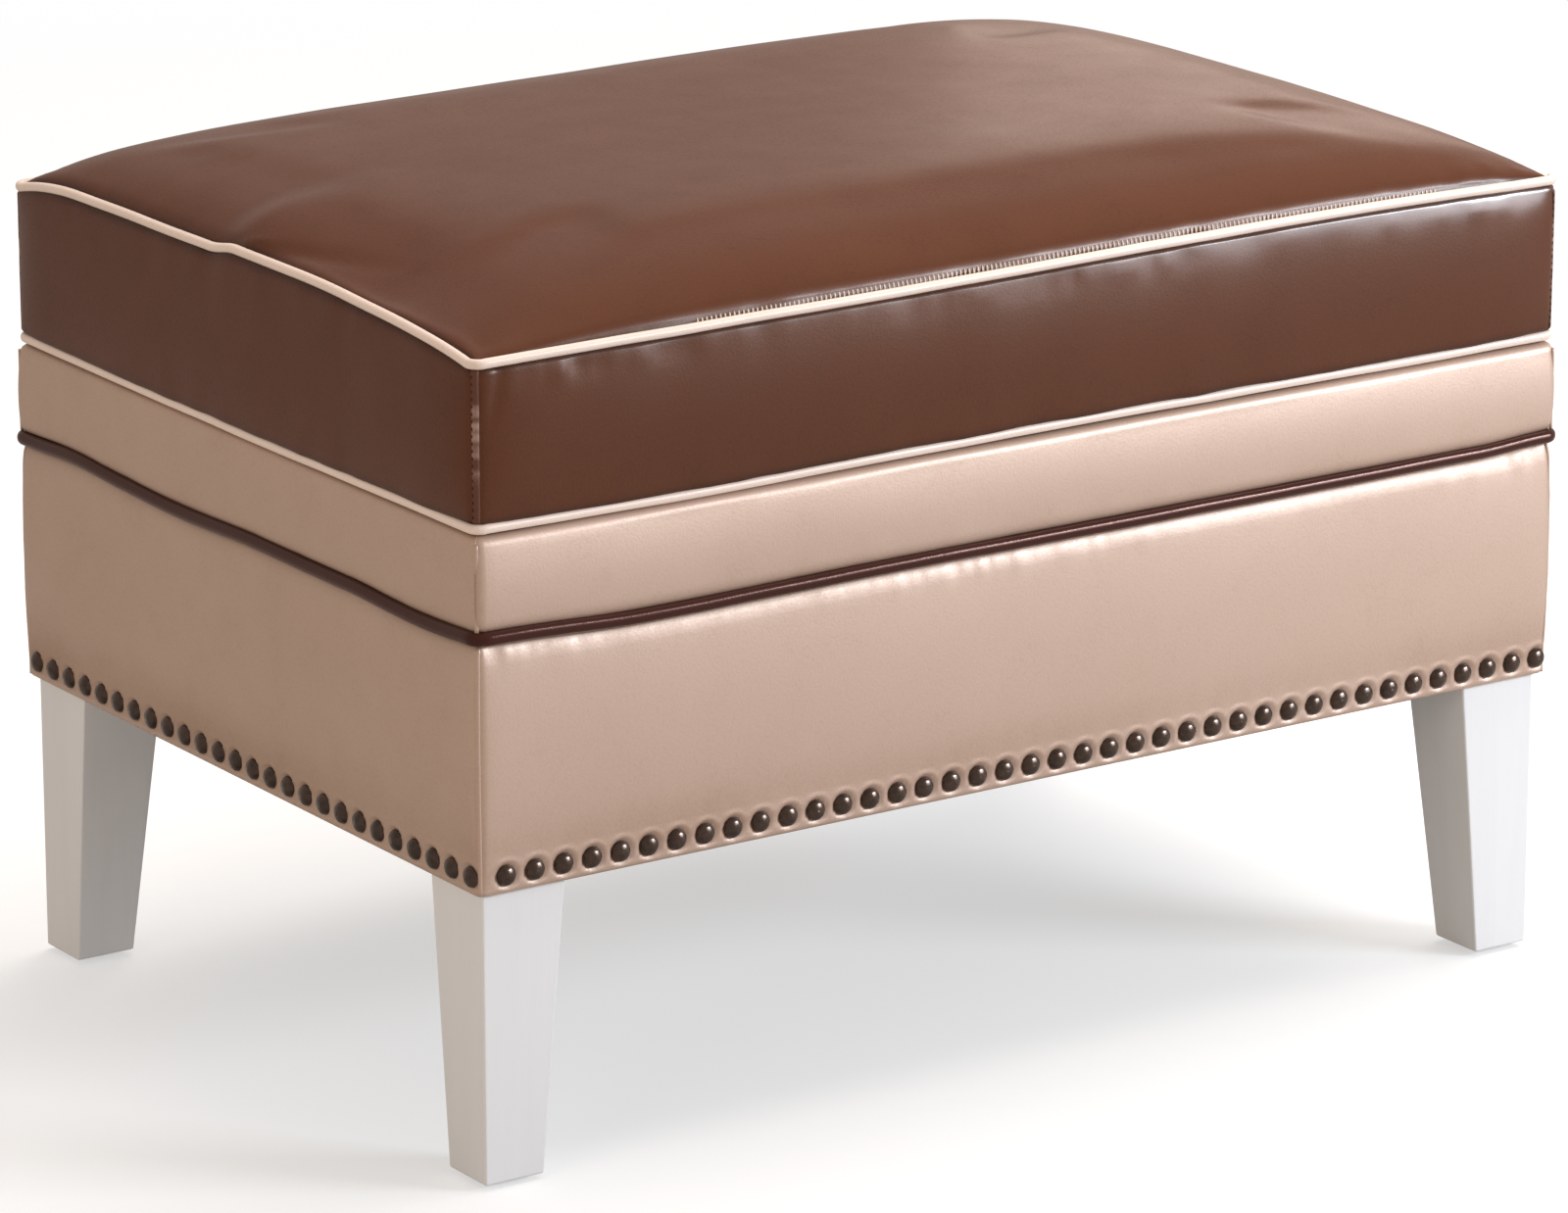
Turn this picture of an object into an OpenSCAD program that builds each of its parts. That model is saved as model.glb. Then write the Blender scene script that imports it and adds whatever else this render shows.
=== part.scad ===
// Upholstered bed bench: a loose box cushion with piped edges lies on a sprung, leather-covered base
// with a plain band, a dark piping, a nailed skirt and four tapered legs.
// X runs along the width, the front faces -Y and the floor is at Z = 0. Lengths are in millimetres.

/* [Body] */
// Width over the skirt, left to right
body_w = 766; // [640:1:1000]
// Depth over the skirt, front to back
body_d = 518; // [440:1:640]
// Radius of the skirt's upright corners
corner_r = 8; // [8:0.5:12]
// Height of the skirt, from the frame's underside to the middle of the dark piping
skirt_h = 149; // [120:1:200]
// Height of the plain band, from the middle of the dark piping to the deck
band_h = 58.2; // [52:0.1:80]
// How far the band stands out from the skirt
band_proud = 1.5; // [0.5:0.1:2]
// Thickness of the leather
leather_t = 1.5; // [1:0.1:1.8]
// Thickness of the padding between the skirt and the rails
pad_t = 3.8; // [2:0.1:4]
// Width of the skirt's edge that is turned under the rails
hem_w = 26; // [15:1:30]
// Width of the band's leather that is turned over onto the deck
deck_fold_w = 45; // [30:1:80]

/* [Legs] */
// Height of a leg without its glide
leg_h = 175; // [110:1:240]
// Width of a leg where it meets the frame
leg_top_w = 55; // [52:1:64]
// Width of a leg at its foot
leg_foot_w = 39; // [30:1:48]
// Distance from the skirt's face in to a leg's outer faces
leg_inset = 5; // [3:0.5:8]
// Diameter of a floor glide
glide_d = 22; // [14:1:26]
// Thickness of a floor glide
glide_t = 3; // [2:0.5:6]

/* [Frame] */
// Thickness of the hardwood rails
rail_t = 22; // [18:1:24]
// Thickness of the plywood gusset in each corner
gusset_t = 18; // [12:1:24]
// Length of a gusset along each rail
gusset_w = 110; // [80:1:140]
// Length of a corner block along each rail
block_w = 40; // [30:1:60]
// Thickness of the centre stretcher
stretcher_t = 20; // [15:1:30]
// Height of the centre stretcher
stretcher_h = 60; // [40:1:90]
// Diameter of the hanger bolt in each leg
bolt_d = 8; // [6:1:10]

/* [Springs and deck] */
// Depth of the springs, felt and foam above the rails
deck_build = 43.2; // [32:0.1:60]
// Number of sinuous springs
spring_count = 5; // [4:1:6]
// Number of cross runs in one spring
spring_runs = 18; // [14:2:20]
// Diameter of the spring wire
wire_d = 3.8; // [3:0.1:4.2]
// Length of the straight part of a cross run
run_l = 24; // [20:1:36]
// Thickness of the felt over the springs
felt_t = 3; // [2:0.5:4]

/* [Cushion] */
// Height of the boxing, between the middles of the two pale pipings
boxing_h = 93.5; // [70:0.5:140]
// Rise of the crown above the middle of the top piping
crown_h = 42; // [20:0.5:60]
// How far the boxing swells out between its pipings
boxing_bulge = 4.6; // [2:0.1:4.6]
// Corner radius of the pale pipings
cushion_corner_r = 10; // [9.5:0.5:20]
// How far the pale pipings stand out from the skirt
cushion_proud = 2; // [0:0.1:2]

/* [Piping and nails] */
// Diameter of the pale piping
welt_d = 8; // [6:0.5:8]
// Diameter of the dark piping
dark_welt_d = 9; // [7:0.5:10]
// How far the dark piping stands out from the skirt
dark_welt_proud = 5; // [4:0.5:6]
// Diameter of a nail head
nail_d = 12.7; // [8:0.1:14]
// Height of a nail's dome
nail_dome_h = 4.2; // [3:0.1:4.5]
// Height of the nail row above the skirt's lower edge
nail_lift = 11; // [8:0.5:20]
// Number of nails along the front and along the back
long_nails = 40; // [20:1:44]
// Number of nails along each end
short_nails = 26; // [14:1:28]

/* [Zip] */
// Distance from the skirt's ends in to the ends of the zip
zip_margin = 75; // [60:1:200]
// Width of the closed chain
chain_w = 5.4; // [4:0.1:6]
// Thickness of the chain outside its tape
chain_t = 1.8; // [1.2:0.1:2]
// Length of the pull tab beyond its arms
pull_l = 20; // [12:1:30]

/* [Hidden] */
$fn = 72;
// Number of steps drawn on an arc of large radius
arc_steps = 256;

// Clearance between layers of the same body, and between the cushion and the deck
layer_gap = 0.1;
seat_gap = 0.3;
// Overrun of every cut
cut = 1;

// Levels of the base, from the floor up
frame_z = glide_t + leg_h;
skirt_foot_z = frame_z - leather_t;
dark_welt_r = dark_welt_d / 2;
dark_welt_z = frame_z + skirt_h;
skirt_top_z = dark_welt_z - dark_welt_r - layer_gap;
band_foot_z = dark_welt_z + dark_welt_r + layer_gap;
deck_z = dark_welt_z + band_h;
rail_top_z = deck_z - deck_build;
rail_h = rail_top_z - frame_z;
foam_top_z = deck_z - leather_t - layer_gap;

// Depths in from the skirt's face
rail_inset = leather_t + pad_t + 2 * layer_gap;
rail_inner = rail_inset + rail_t;

// Levels of the cushion
welt_r = welt_d / 2;
low_welt_z = deck_z + seat_gap + welt_r;
top_welt_z = low_welt_z + boxing_h;
boxing_mid_z = (low_welt_z + top_welt_z) / 2;

// The pipings have a flat sewing edge
flange_t = 1.2;

// Path of the pale pipings, in plan
path_w = body_w - welt_d + 2 * cushion_proud;
path_d = body_d - welt_d + 2 * cushion_proud;

// Depths in from the pale pipings' path
boxing_lip = welt_r + layer_gap + leather_t;
flange_w = boxing_lip + leather_t;
core_inset = flange_w + layer_gap;

// The boxing's section is an arc between the two pipings
boxing_half_h = boxing_h / 2 - welt_r - layer_gap;
boxing_arc_r = (boxing_half_h * boxing_half_h + boxing_bulge * boxing_bulge) / (2 * boxing_bulge);

// The crown: a flat-topped swell that turns down steeply at its edges
crown_power = 5;
crown_edge_power = 0.5;
crown_rings = 9;
loop_arc_steps = 3;
loop_side_steps = 9;
crown_z = top_welt_z + flange_t / 2 + layer_gap;
crown_inset = welt_r + layer_gap;

// Leg fixing
bolt_r = bolt_d / 2;
bolt_gap = 0.1;
bolt_in_leg = 50;
bolt_above_gusset = 8;
tnut_wall = 1;
tnut_flange_w = 6;
tnut_flange_t = 1.5;
tnut_rail_gap = 1.5;
tnut_r = bolt_r + bolt_gap + tnut_wall;
tnut_foot_gap = 4;
tnut_l = gusset_t - tnut_foot_gap;
bolt_inset = rail_inner + tnut_rail_gap + tnut_r + tnut_flange_w;
glide_edge = 1;
glide_pin_r = 1.2;
glide_pin_l = 14;
foot_centre = leg_inset + leg_foot_w / 2;

// Corner blocks stay above the bolts and below the springs
block_foot_gap = 20;
block_foot_z = frame_z + gusset_t + block_foot_gap;
block_top_gap = 12;

// Springs run from the front rail to the back rail, in clips on the rails' top edges
wire_r = wire_d / 2;
clip_t = 0.9;
clip_w = 20;
clip_gap = 0.2;
clip_half_base = 8;
spring_half_y = body_d / 2 - rail_inset - rail_t / 2;
spring_z = rail_top_z + clip_t + clip_gap + wire_r;
spring_step = 2 * spring_half_y / (spring_runs - 1);
loop_r = spring_step / 2;
spring_pitch = (body_w - 2 * rail_inner) / spring_count;
felt_foot_z = spring_z + wire_r + clip_t + 2 * clip_gap;
felt_w = body_w - 2 * rail_inset - rail_t;
felt_d = 2 * (spring_half_y + clip_half_base);

// Dust cover
cover_t = 0.5;
cover_inset = 14;
cover_leg_gap = 2;

// Nail rows: distance from the corner to the first and to the last nail
long_first = 17.2;
long_last = 7.7;
short_first = 13;
short_last = 8.2;

// Zip in the back boxing
zip_l = body_w - 2 * zip_margin;
tape_w = 28;
tape_t = 0.6;
slot_w = 12;
slot_hem_w = 11;
stop_l = 3;
slide_gap = 0.25;
slider_l = 11;
slider_w = 9;
slider_rear_w = 7.4;
plate_t = 1.1;
bail_l = 7;
bail_w = 1.6;
bail_h = 2.2;
bail_wall = 0.8;
pull_bar_r = 0.5;
pull_arm_w = 0.95;
pull_arm_l = 5;
pull_tab_w = 7;
pull_clear = 0.25;
fill_r = boxing_arc_r - 2 * leather_t - tape_t - 3 * layer_gap;
tape_x = boxing_bulge - 2 * leather_t - layer_gap;
chain_x = tape_x + chain_t;
plate_x = chain_x + slide_gap;
slider_rest_x = -zip_l / 2 + stop_l + slide_gap + slider_l / 2;
pull_axis_x = plate_x + plate_t + pull_clear + pull_bar_r;

// Rectangle with round corners, centred; a radius of zero or less leaves it square
module outline(w, d, r) {
    if (r > 0) {
        square([w - 2 * r, d], center = true);
        square([w, d - 2 * r], center = true);
        for (x = [-1, 1], y = [-1, 1]) {
            translate([x * (w / 2 - r), y * (d / 2 - r)]) circle(r);
        }
    } else {
        square([w, d], center = true);
    }
}

// Outline of the body at a distance in from the skirt's face
module body_outline(inset) {
    outline(body_w - 2 * inset, body_d - 2 * inset, corner_r - inset);
}

// Outline of the cushion at a distance in from the piping's path
module cushion_outline(inset) {
    outline(path_w - 2 * inset, path_d - 2 * inset, cushion_corner_r - inset);
}

// Sweeps a section straight along X; the section's x points to +Y and its y points up
module run(length) {
    rotate([90, 0, 90]) linear_extrude(height = length, center = true) children();
}

// Carries a section all the way round a rectangle with round corners
module loop(w, d, r) {
    for (turn = [0, 180]) {
        rotate(turn) translate([0, d / 2, 0]) run(w - 2 * r) children();
        rotate(turn + 90) translate([0, w / 2, 0]) run(d - 2 * r) children();
        for (side = [0, 1]) {
            rotate(turn) translate([(1 - 2 * side) * (w / 2 - r), d / 2 - r, 0]) rotate(90 * side)
                rotate_extrude(angle = 90) translate([r, 0]) children();
        }
    }
}

// Places a panel drawn for the back on the side that is named
module on_side(side, w, d) {
    if (side == "back") translate([0, d / 2, 0]) children();
    if (side == "front") rotate(180) translate([0, d / 2, 0]) children();
    if (side == "left") rotate(90) translate([0, w / 2, 0]) children();
    if (side == "right") rotate(-90) translate([0, w / 2, 0]) children();
}

function side_length(side, w, d) = side == "back" || side == "front" ? w : d;

// Carries a section along one side of such a rectangle and halfway round its two corners.
// All of the section lies below the top level and less than the depth in from the rectangle.
module loop_side(side, w, d, r, depth, top) {
    length = side_length(side, w, d);
    reach = depth + r;
    intersection() {
        loop(w, d, r) children();
        on_side(side, w, d) translate([0, 0, -top]) linear_extrude(height = 2 * top) polygon([
            [-length / 2 - reach, reach],
            [length / 2 + reach, reach],
            [length / 2 - reach, -reach],
            [reach - length / 2, -reach]
        ]);
    }
}

// Local frame of a corner: x and y run inwards from the skirt's faces
module at_corner(x, y) {
    translate([x * body_w / 2, y * body_d / 2, 0])
        mirror([x > 0 ? 1 : 0, 0, 0]) mirror([0, y > 0 ? 1 : 0, 0]) children();
}

module at_each_corner() {
    for (x = [-1, 1], y = [-1, 1]) at_corner(x, y) children();
}

// Solid with the body's outline between two levels, at a distance in from the skirt's face
module block(inset, z0, z1) {
    translate([0, 0, z0]) linear_extrude(height = z1 - z0) body_outline(inset);
}

// A leg tapers on its two inner faces only; its outer faces stand upright
module leg_profile() {
    polygon([
        [leg_inset, 0],
        [leg_inset + leg_foot_w, 0],
        [leg_inset + leg_top_w, leg_h],
        [leg_inset, leg_h]
    ]);
}

module leg(x, y) {
    reach = leg_inset + leg_top_w + cut;
    color("gainsboro") at_corner(x, y) translate([0, 0, glide_t]) difference() {
        intersection() {
            translate([0, reach, 0]) rotate([90, 0, 0])
                linear_extrude(height = reach) leg_profile();
            rotate([90, 0, 90]) linear_extrude(height = reach) leg_profile();
        }
        translate([bolt_inset, bolt_inset, leg_h - bolt_in_leg - bolt_gap])
            cylinder(r = bolt_r + bolt_gap, h = bolt_in_leg + bolt_gap + cut);
        translate([foot_centre, foot_centre, -cut])
            cylinder(r = glide_pin_r + bolt_gap, h = glide_pin_l + bolt_gap + cut);
    }
}

module glides() {
    color("dimgray") at_each_corner() translate([foot_centre, foot_centre, 0]) {
        cylinder(r1 = glide_d / 2 - glide_edge, r2 = glide_d / 2, h = glide_edge);
        translate([0, 0, glide_edge]) cylinder(r = glide_d / 2, h = glide_t - glide_edge);
        cylinder(r = glide_pin_r, h = glide_t + glide_pin_l);
    }
}

module hanger_bolts() {
    color("silver") at_each_corner()
        translate([bolt_inset, bolt_inset, frame_z - bolt_in_leg])
            cylinder(r = bolt_r, h = bolt_in_leg + gusset_t + bolt_above_gusset);
}

module t_nuts() {
    top = frame_z + gusset_t;
    color("silver") at_each_corner() translate([bolt_inset, bolt_inset, top]) difference() {
        union() {
            translate([0, 0, -tnut_l]) cylinder(r = tnut_r, h = tnut_l);
            cylinder(r = tnut_r + tnut_flange_w, h = tnut_flange_t);
        }
        translate([0, 0, -tnut_l - cut])
            cylinder(r = bolt_r + bolt_gap, h = tnut_l + tnut_flange_t + 2 * cut);
    }
}

// Three-cornered plate or block in the angle between two rails
module corner_piece(width, z0, z1) {
    translate([rail_inner, rail_inner, z0]) linear_extrude(height = z1 - z0)
        polygon([[0, 0], [width, 0], [0, width]]);
}

module corner_gussets() {
    color("burlywood") at_each_corner() difference() {
        corner_piece(gusset_w, frame_z, frame_z + gusset_t);
        translate([bolt_inset, bolt_inset, frame_z - cut])
            cylinder(r = tnut_r + bolt_gap, h = gusset_t + 2 * cut);
    }
}

module corner_blocks() {
    color("burlywood") at_each_corner()
        corner_piece(block_w, block_foot_z, rail_top_z - block_top_gap);
}

// The front and back rails run the full width
module long_rail(side) {
    color("burlywood") intersection() {
        block(rail_inset, frame_z, rail_top_z);
        on_side(side, body_w, body_d) translate([0, -rail_inset - rail_t / 2, frame_z + rail_h / 2])
            cube([body_w, rail_t, rail_h + 2 * cut], center = true);
    }
}

// The end rails fit between them
module end_rail(side) {
    color("burlywood") on_side(side, body_w, body_d)
        translate([0, -rail_inset - rail_t / 2, frame_z + rail_h / 2])
            cube([body_d - 2 * rail_inner, rail_t, rail_h], center = true);
}

module centre_stretcher() {
    color("burlywood") translate([0, 0, frame_z + stretcher_h / 2])
        cube([stretcher_t, body_d - 2 * rail_inner, stretcher_h], center = true);
}

// One sinuous spring: cross runs along X, joined at alternate ends by half loops
module sinuous_spring() {
    for (i = [0 : spring_runs - 1]) {
        translate([0, i * spring_step - spring_half_y, spring_z])
            run(run_l) rotate(90) circle(wire_r);
    }
    for (i = [0 : spring_runs - 2]) {
        translate([0, (i + 0.5) * spring_step - spring_half_y, spring_z]) rotate(180 * (i % 2))
            translate([run_l / 2, 0, 0]) rotate(-90)
                rotate_extrude(angle = 180) translate([loop_r, 0]) rotate(90) circle(wire_r);
    }
}

module at_each_spring() {
    for (i = [0 : spring_count - 1]) {
        translate([(i - (spring_count - 1) / 2) * spring_pitch, 0, 0]) children();
    }
}

module seat_springs() {
    color("slategray") at_each_spring() sinuous_spring();
}

// A clip wraps the end run of a spring and is nailed to the rail's top edge
module spring_clips() {
    color("silver") at_each_spring() for (y = [-1, 1]) {
        translate([0, y * spring_half_y, spring_z]) difference() {
            union() {
                rotate([0, 90, 0])
                    cylinder(r = wire_r + clip_gap + clip_t, h = clip_w, center = true);
                translate([0, 0, -wire_r - clip_gap - clip_t / 2])
                    cube([clip_w, 2 * clip_half_base, clip_t], center = true);
            }
            rotate([0, 90, 0])
                cylinder(r = wire_r + clip_gap, h = clip_w + 2 * cut, center = true);
        }
    }
}

// Flat layer over the springs, between two levels and grown by a clearance
module spring_space(z0, z1, grow) {
    translate([0, 0, z0]) linear_extrude(height = z1 - z0)
        square([felt_w + 2 * grow, felt_d + 2 * grow], center = true);
}

module spring_felt() {
    color("tan") spring_space(felt_foot_z, felt_foot_z + felt_t, 0);
}

// The deck's foam lies on the felt and turns down over the outside of the rails
module deck_foam() {
    color("khaki") difference() {
        block(leather_t + layer_gap - band_proud, band_foot_z + leather_t + layer_gap, foam_top_z);
        block(rail_inset - layer_gap, frame_z, rail_top_z + layer_gap);
        spring_space(rail_top_z, felt_foot_z + felt_t + layer_gap, layer_gap);
    }
}

module deck_cloth() {
    color("dimgray") block(deck_fold_w + layer_gap, foam_top_z + layer_gap, deck_z);
}

module skirt_padding() {
    color("ivory") difference() {
        block(leather_t + layer_gap, frame_z, skirt_top_z - leather_t - layer_gap);
        block(rail_inset - layer_gap, frame_z - cut, skirt_top_z);
    }
}

// A skirt panel covers its side, tucks in under the dark piping and is turned under between the legs
module skirt_panel(side) {
    length = side_length(side, body_w, body_d);
    hem_l = length - 2 * (leg_inset + leg_top_w + cover_leg_gap);
    color("rosybrown") {
        loop_side(side, body_w, body_d, corner_r, rail_inset, skirt_top_z + cut) {
            translate([-leather_t, skirt_foot_z])
                square([leather_t, skirt_top_z - skirt_foot_z]);
            translate([layer_gap - rail_inset, skirt_top_z - leather_t])
                square([rail_inset - layer_gap, leather_t]);
        }
        on_side(side, body_w, body_d) translate([-hem_l / 2, -hem_w, skirt_foot_z])
            cube([hem_l, hem_w, leather_t]);
    }
}

// Plan of one side of the fold on the deck, from the middle of the band's leather inwards,
// cut at 45 degrees at both ends
module deck_fold(length, across) {
    corner = band_proud + cut;
    out = band_proud - leather_t / 2;
    intersection() {
        translate([0, -across / 2]) difference() {
            outline(length + 2 * out, across + 2 * out, corner_r + out);
            square([length - 2 * deck_fold_w, across - 2 * deck_fold_w], center = true);
        }
        polygon([
            [-length / 2 - corner, corner],
            [length / 2 + corner, corner],
            [length / 2 - deck_fold_w - cut, -deck_fold_w - cut],
            [deck_fold_w + cut - length / 2, -deck_fold_w - cut]
        ]);
    }
}

// A band panel tucks in above the dark piping and is turned over onto the deck's foam
module band_panel(side) {
    length = side_length(side, body_w, body_d);
    w = body_w + 2 * band_proud;
    d = body_d + 2 * band_proud;
    tuck = rail_inset + band_proud - layer_gap;
    color("rosybrown") {
        loop_side(side, w, d, corner_r + band_proud, tuck + layer_gap, deck_z + cut) {
            translate([-leather_t, band_foot_z]) square([leather_t, deck_z - band_foot_z]);
            translate([-tuck, band_foot_z]) square([tuck, leather_t]);
        }
        on_side(side, body_w, body_d) translate([0, 0, deck_z - leather_t])
            linear_extrude(height = leather_t) deck_fold(length, body_w + body_d - length);
    }
}

// Section of a piping: its cord, and the sewing edge that runs inwards from it
module piping_section(r, flange) {
    circle(r);
    translate([-flange, -flange_t / 2]) square([flange - r / 2, flange_t]);
}

module dark_piping() {
    out = dark_welt_proud - dark_welt_r;
    color("maroon") translate([0, 0, dark_welt_z])
        loop(body_w + 2 * out, body_d + 2 * out, corner_r + out)
            piping_section(dark_welt_r, rail_inset + out - layer_gap);
}

// A nail's head is a cap of a ball, flat against the leather
module nail_head() {
    ball_r = (nail_d * nail_d / 4 + nail_dome_h * nail_dome_h) / (2 * nail_dome_h);
    intersection() {
        translate([0, nail_dome_h - ball_r, 0]) sphere(ball_r);
        translate([-nail_d / 2 - cut, 0, -nail_d / 2 - cut])
            cube([nail_d + 2 * cut, nail_dome_h + cut, nail_d + 2 * cut]);
    }
}

module nail_row(side, count, first, last) {
    length = side_length(side, body_w, body_d);
    pitch = (length - first - last) / (count - 1);
    color("saddlebrown") on_side(side, body_w, body_d) for (i = [0 : count - 1]) {
        translate([length / 2 - first - i * pitch, 0, skirt_foot_z + nail_lift]) nail_head();
    }
}

// A thin cloth closes the underside; it is cut out round the legs
module dust_cover() {
    notch = leg_inset + leg_top_w + cover_leg_gap;
    color("dimgray") difference() {
        block(cover_inset, skirt_foot_z - cover_t, skirt_foot_z);
        at_each_corner() translate([-cut, -cut, skirt_foot_z - cover_t - cut])
            cube([notch + cut, notch + cut, cover_t + 2 * cut]);
    }
}

module foam_core() {
    foot = low_welt_z - welt_r + leather_t + layer_gap;
    color("khaki") translate([0, 0, foot])
        linear_extrude(height = top_welt_z + flange_t / 2 - foot) cushion_outline(core_inset);
}

// Points round a rectangle with round corners, anticlockwise from the right end
function corner_centre(a, b, r, c) = [(c == 0 || c == 3 ? 1 : -1) * (a - r), (c < 2 ? 1 : -1) * (b - r)];
function corner_point(a, b, r, c, angle) = corner_centre(a, b, r, c) + r * [cos(angle), sin(angle)];
function loop_points(a, b, r) = [
    for (c = [0 : 3]) each [
        for (k = [0 : loop_arc_steps]) corner_point(a, b, r, c, 90 * (c + k / loop_arc_steps)),
        for (k = [1 : loop_side_steps - 1])
            let (
                from = corner_point(a, b, r, c, 90 * (c + 1)),
                to = corner_point(a, b, r, (c + 1) % 4, 90 * (c + 1))
            )
            from + k / loop_side_steps * (to - from)
    ]
];

// Height of the crown over a point, from 0 at the piping to 1 over most of the middle
function swell(share) = pow(max(1 - pow(abs(share), crown_power), 0), crown_edge_power);
function crown_share(p, a, b) = swell(p[0] / a) * swell(p[1] / b);

// Rings of points up the crown, from its edge to its middle
function crown_points(inset, rise) =
    let (
        a = path_w / 2 - inset,
        b = path_d / 2 - inset,
        edge = loop_points(a, b, cushion_corner_r - inset)
    )
    concat(
        [for (p = edge) [p[0], p[1], crown_z]],
        [for (k = [crown_rings - 1 : -1 : 1]) for (p = edge)
            let (q = sin(90 * k / crown_rings) * p)
            [q[0], q[1], crown_z + rise * crown_share(q, a, b)]],
        [[0, 0, crown_z + rise]]
    );

// Triangles of a crown; its points start at number start, and up says which way it faces
function facing(up, t) = up ? t : [t[0], t[2], t[1]];
function crown_faces(start, n, up) = concat(
    [for (k = [0 : crown_rings - 2], i = [0 : n - 1], half = [0, 1])
        let (
            a = start + k * n + i,
            b = start + k * n + (i + 1) % n
        )
        facing(up, half == 0 ? [a, b + n, b] : [a, a + n, b + n])],
    [for (i = [0 : n - 1])
        let (ring = start + (crown_rings - 1) * n)
        facing(up, [ring + i, start + crown_rings * n, ring + (i + 1) % n])]
);

// Soft fill that gives the cushion its crown, flat below and swelling above
module crown_fill() {
    inset = crown_inset + leather_t + layer_gap;
    points = crown_points(inset, crown_h - flange_t / 2 - leather_t - 2 * layer_gap);
    n = (len(points) - 1) / crown_rings;
    color("ivory") polyhedron(
        points = concat(points, [[0, 0, crown_z]]),
        faces = concat(
            crown_faces(0, n, true),
            [for (i = [0 : n - 1]) [len(points), i, (i + 1) % n]]
        )
    );
}

// The top panel is one crowned sheet of leather
module cushion_top() {
    outer = crown_points(crown_inset, crown_h - flange_t / 2 - layer_gap);
    inner = crown_points(crown_inset + leather_t, crown_h - flange_t / 2 - layer_gap - leather_t);
    n = (len(outer) - 1) / crown_rings;
    start = len(outer);
    rim = [for (i = [0 : n - 1], half = [0, 1])
        let (j = (i + 1) % n)
        half == 0 ? [i, j, start + j] : [i, start + j, start + i]];
    color("sienna") polyhedron(
        points = concat(outer, inner),
        faces = concat(crown_faces(0, n, true), crown_faces(start, n, false), rim)
    );
}

// The bottom panel hangs from the lower piping and lies flat on the deck
module cushion_bottom() {
    floor_z = low_welt_z - welt_r;
    rim_z = low_welt_z - flange_t / 2 - layer_gap;
    color("sienna") {
        translate([0, 0, floor_z]) linear_extrude(height = leather_t)
            cushion_outline(boxing_lip);
        translate([0, 0, floor_z]) linear_extrude(height = rim_z - floor_z) difference() {
            cushion_outline(boxing_lip);
            cushion_outline(boxing_lip + leather_t);
        }
        translate([0, 0, rim_z - leather_t]) linear_extrude(height = leather_t) difference() {
            cushion_outline(crown_inset);
            cushion_outline(boxing_lip + leather_t);
        }
    }
}

// Soft fill between the foam and the boxing
module side_fill() {
    half = boxing_half_h - leather_t - layer_gap;
    color("ivory") translate([0, 0, boxing_mid_z]) loop(path_w, path_d, cushion_corner_r)
        intersection() {
            translate([boxing_bulge - boxing_arc_r, 0]) circle(fill_r, $fn = arc_steps);
            translate([-flange_w, -half]) square([flange_w + boxing_bulge, 2 * half]);
        }
}

// Curved strip of the boxing's section, between two depths and up to a height from its middle
module boxing_arc(depth, thickness, half_h) {
    intersection() {
        translate([boxing_bulge - boxing_arc_r, 0]) difference() {
            circle(boxing_arc_r - depth, $fn = arc_steps);
            circle(boxing_arc_r - depth - thickness, $fn = arc_steps);
        }
        translate([-flange_w, -half_h]) square([flange_w + boxing_bulge, 2 * half_h]);
    }
}

// Edge of the boxing that is turned in round the piping; up is 1 at the top and -1 at the bottom
module boxing_lip(up) {
    rise = welt_r + layer_gap - flange_t / 2;
    mirror([0, up > 0 ? 0 : 1]) {
        translate([-boxing_lip, boxing_half_h - leather_t]) square([boxing_lip, leather_t]);
        translate([-boxing_lip, boxing_half_h - leather_t])
            square([leather_t, leather_t + rise - layer_gap]);
    }
}

module boxing_section() {
    boxing_arc(0, leather_t, boxing_half_h);
    boxing_lip(1);
    boxing_lip(-1);
}

module boxing_shell(side) {
    translate([0, 0, boxing_mid_z])
        loop_side(side, path_w, path_d, cushion_corner_r, flange_w, boxing_h) boxing_section();
}

module boxing_panel(side) {
    color("sienna") boxing_shell(side);
}

// The back boxing has a slot for the zip, with its edges turned in
module boxing_back() {
    slot_l = zip_l + 2 * stop_l;
    color("sienna") difference() {
        union() {
            boxing_shell("back");
            at_zip() run(slot_l + 2 * slot_hem_w)
                boxing_arc(leather_t, leather_t, slot_w / 2 + slot_hem_w);
        }
        at_zip() translate([0, boxing_bulge, 0])
            cube([slot_l, 4 * leather_t + 2 * cut, slot_w], center = true);
    }
}

module pale_piping(z) {
    color("mistyrose") translate([0, 0, z]) loop(path_w, path_d, cushion_corner_r)
        piping_section(welt_r, flange_w);
}

// Places a zip piece at the middle of the back boxing
module at_zip() {
    translate([0, path_d / 2, boxing_mid_z]) children();
}

module zip_tape() {
    color("saddlebrown") at_zip() run(zip_l + 2 * slot_hem_w)
        boxing_arc(2 * leather_t + layer_gap, tape_t, tape_w / 2);
}

module zip_chain() {
    color("peru") at_zip() {
        translate([-zip_l / 2, tape_x, -chain_w / 2]) cube([zip_l, chain_t, chain_w]);
        for (x = [-1, 1]) {
            translate([x * (zip_l - stop_l) / 2, tape_x + chain_t / 2, 0])
                cube([stop_l, chain_t, chain_w + 2 * slide_gap], center = true);
        }
    }
}

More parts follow.
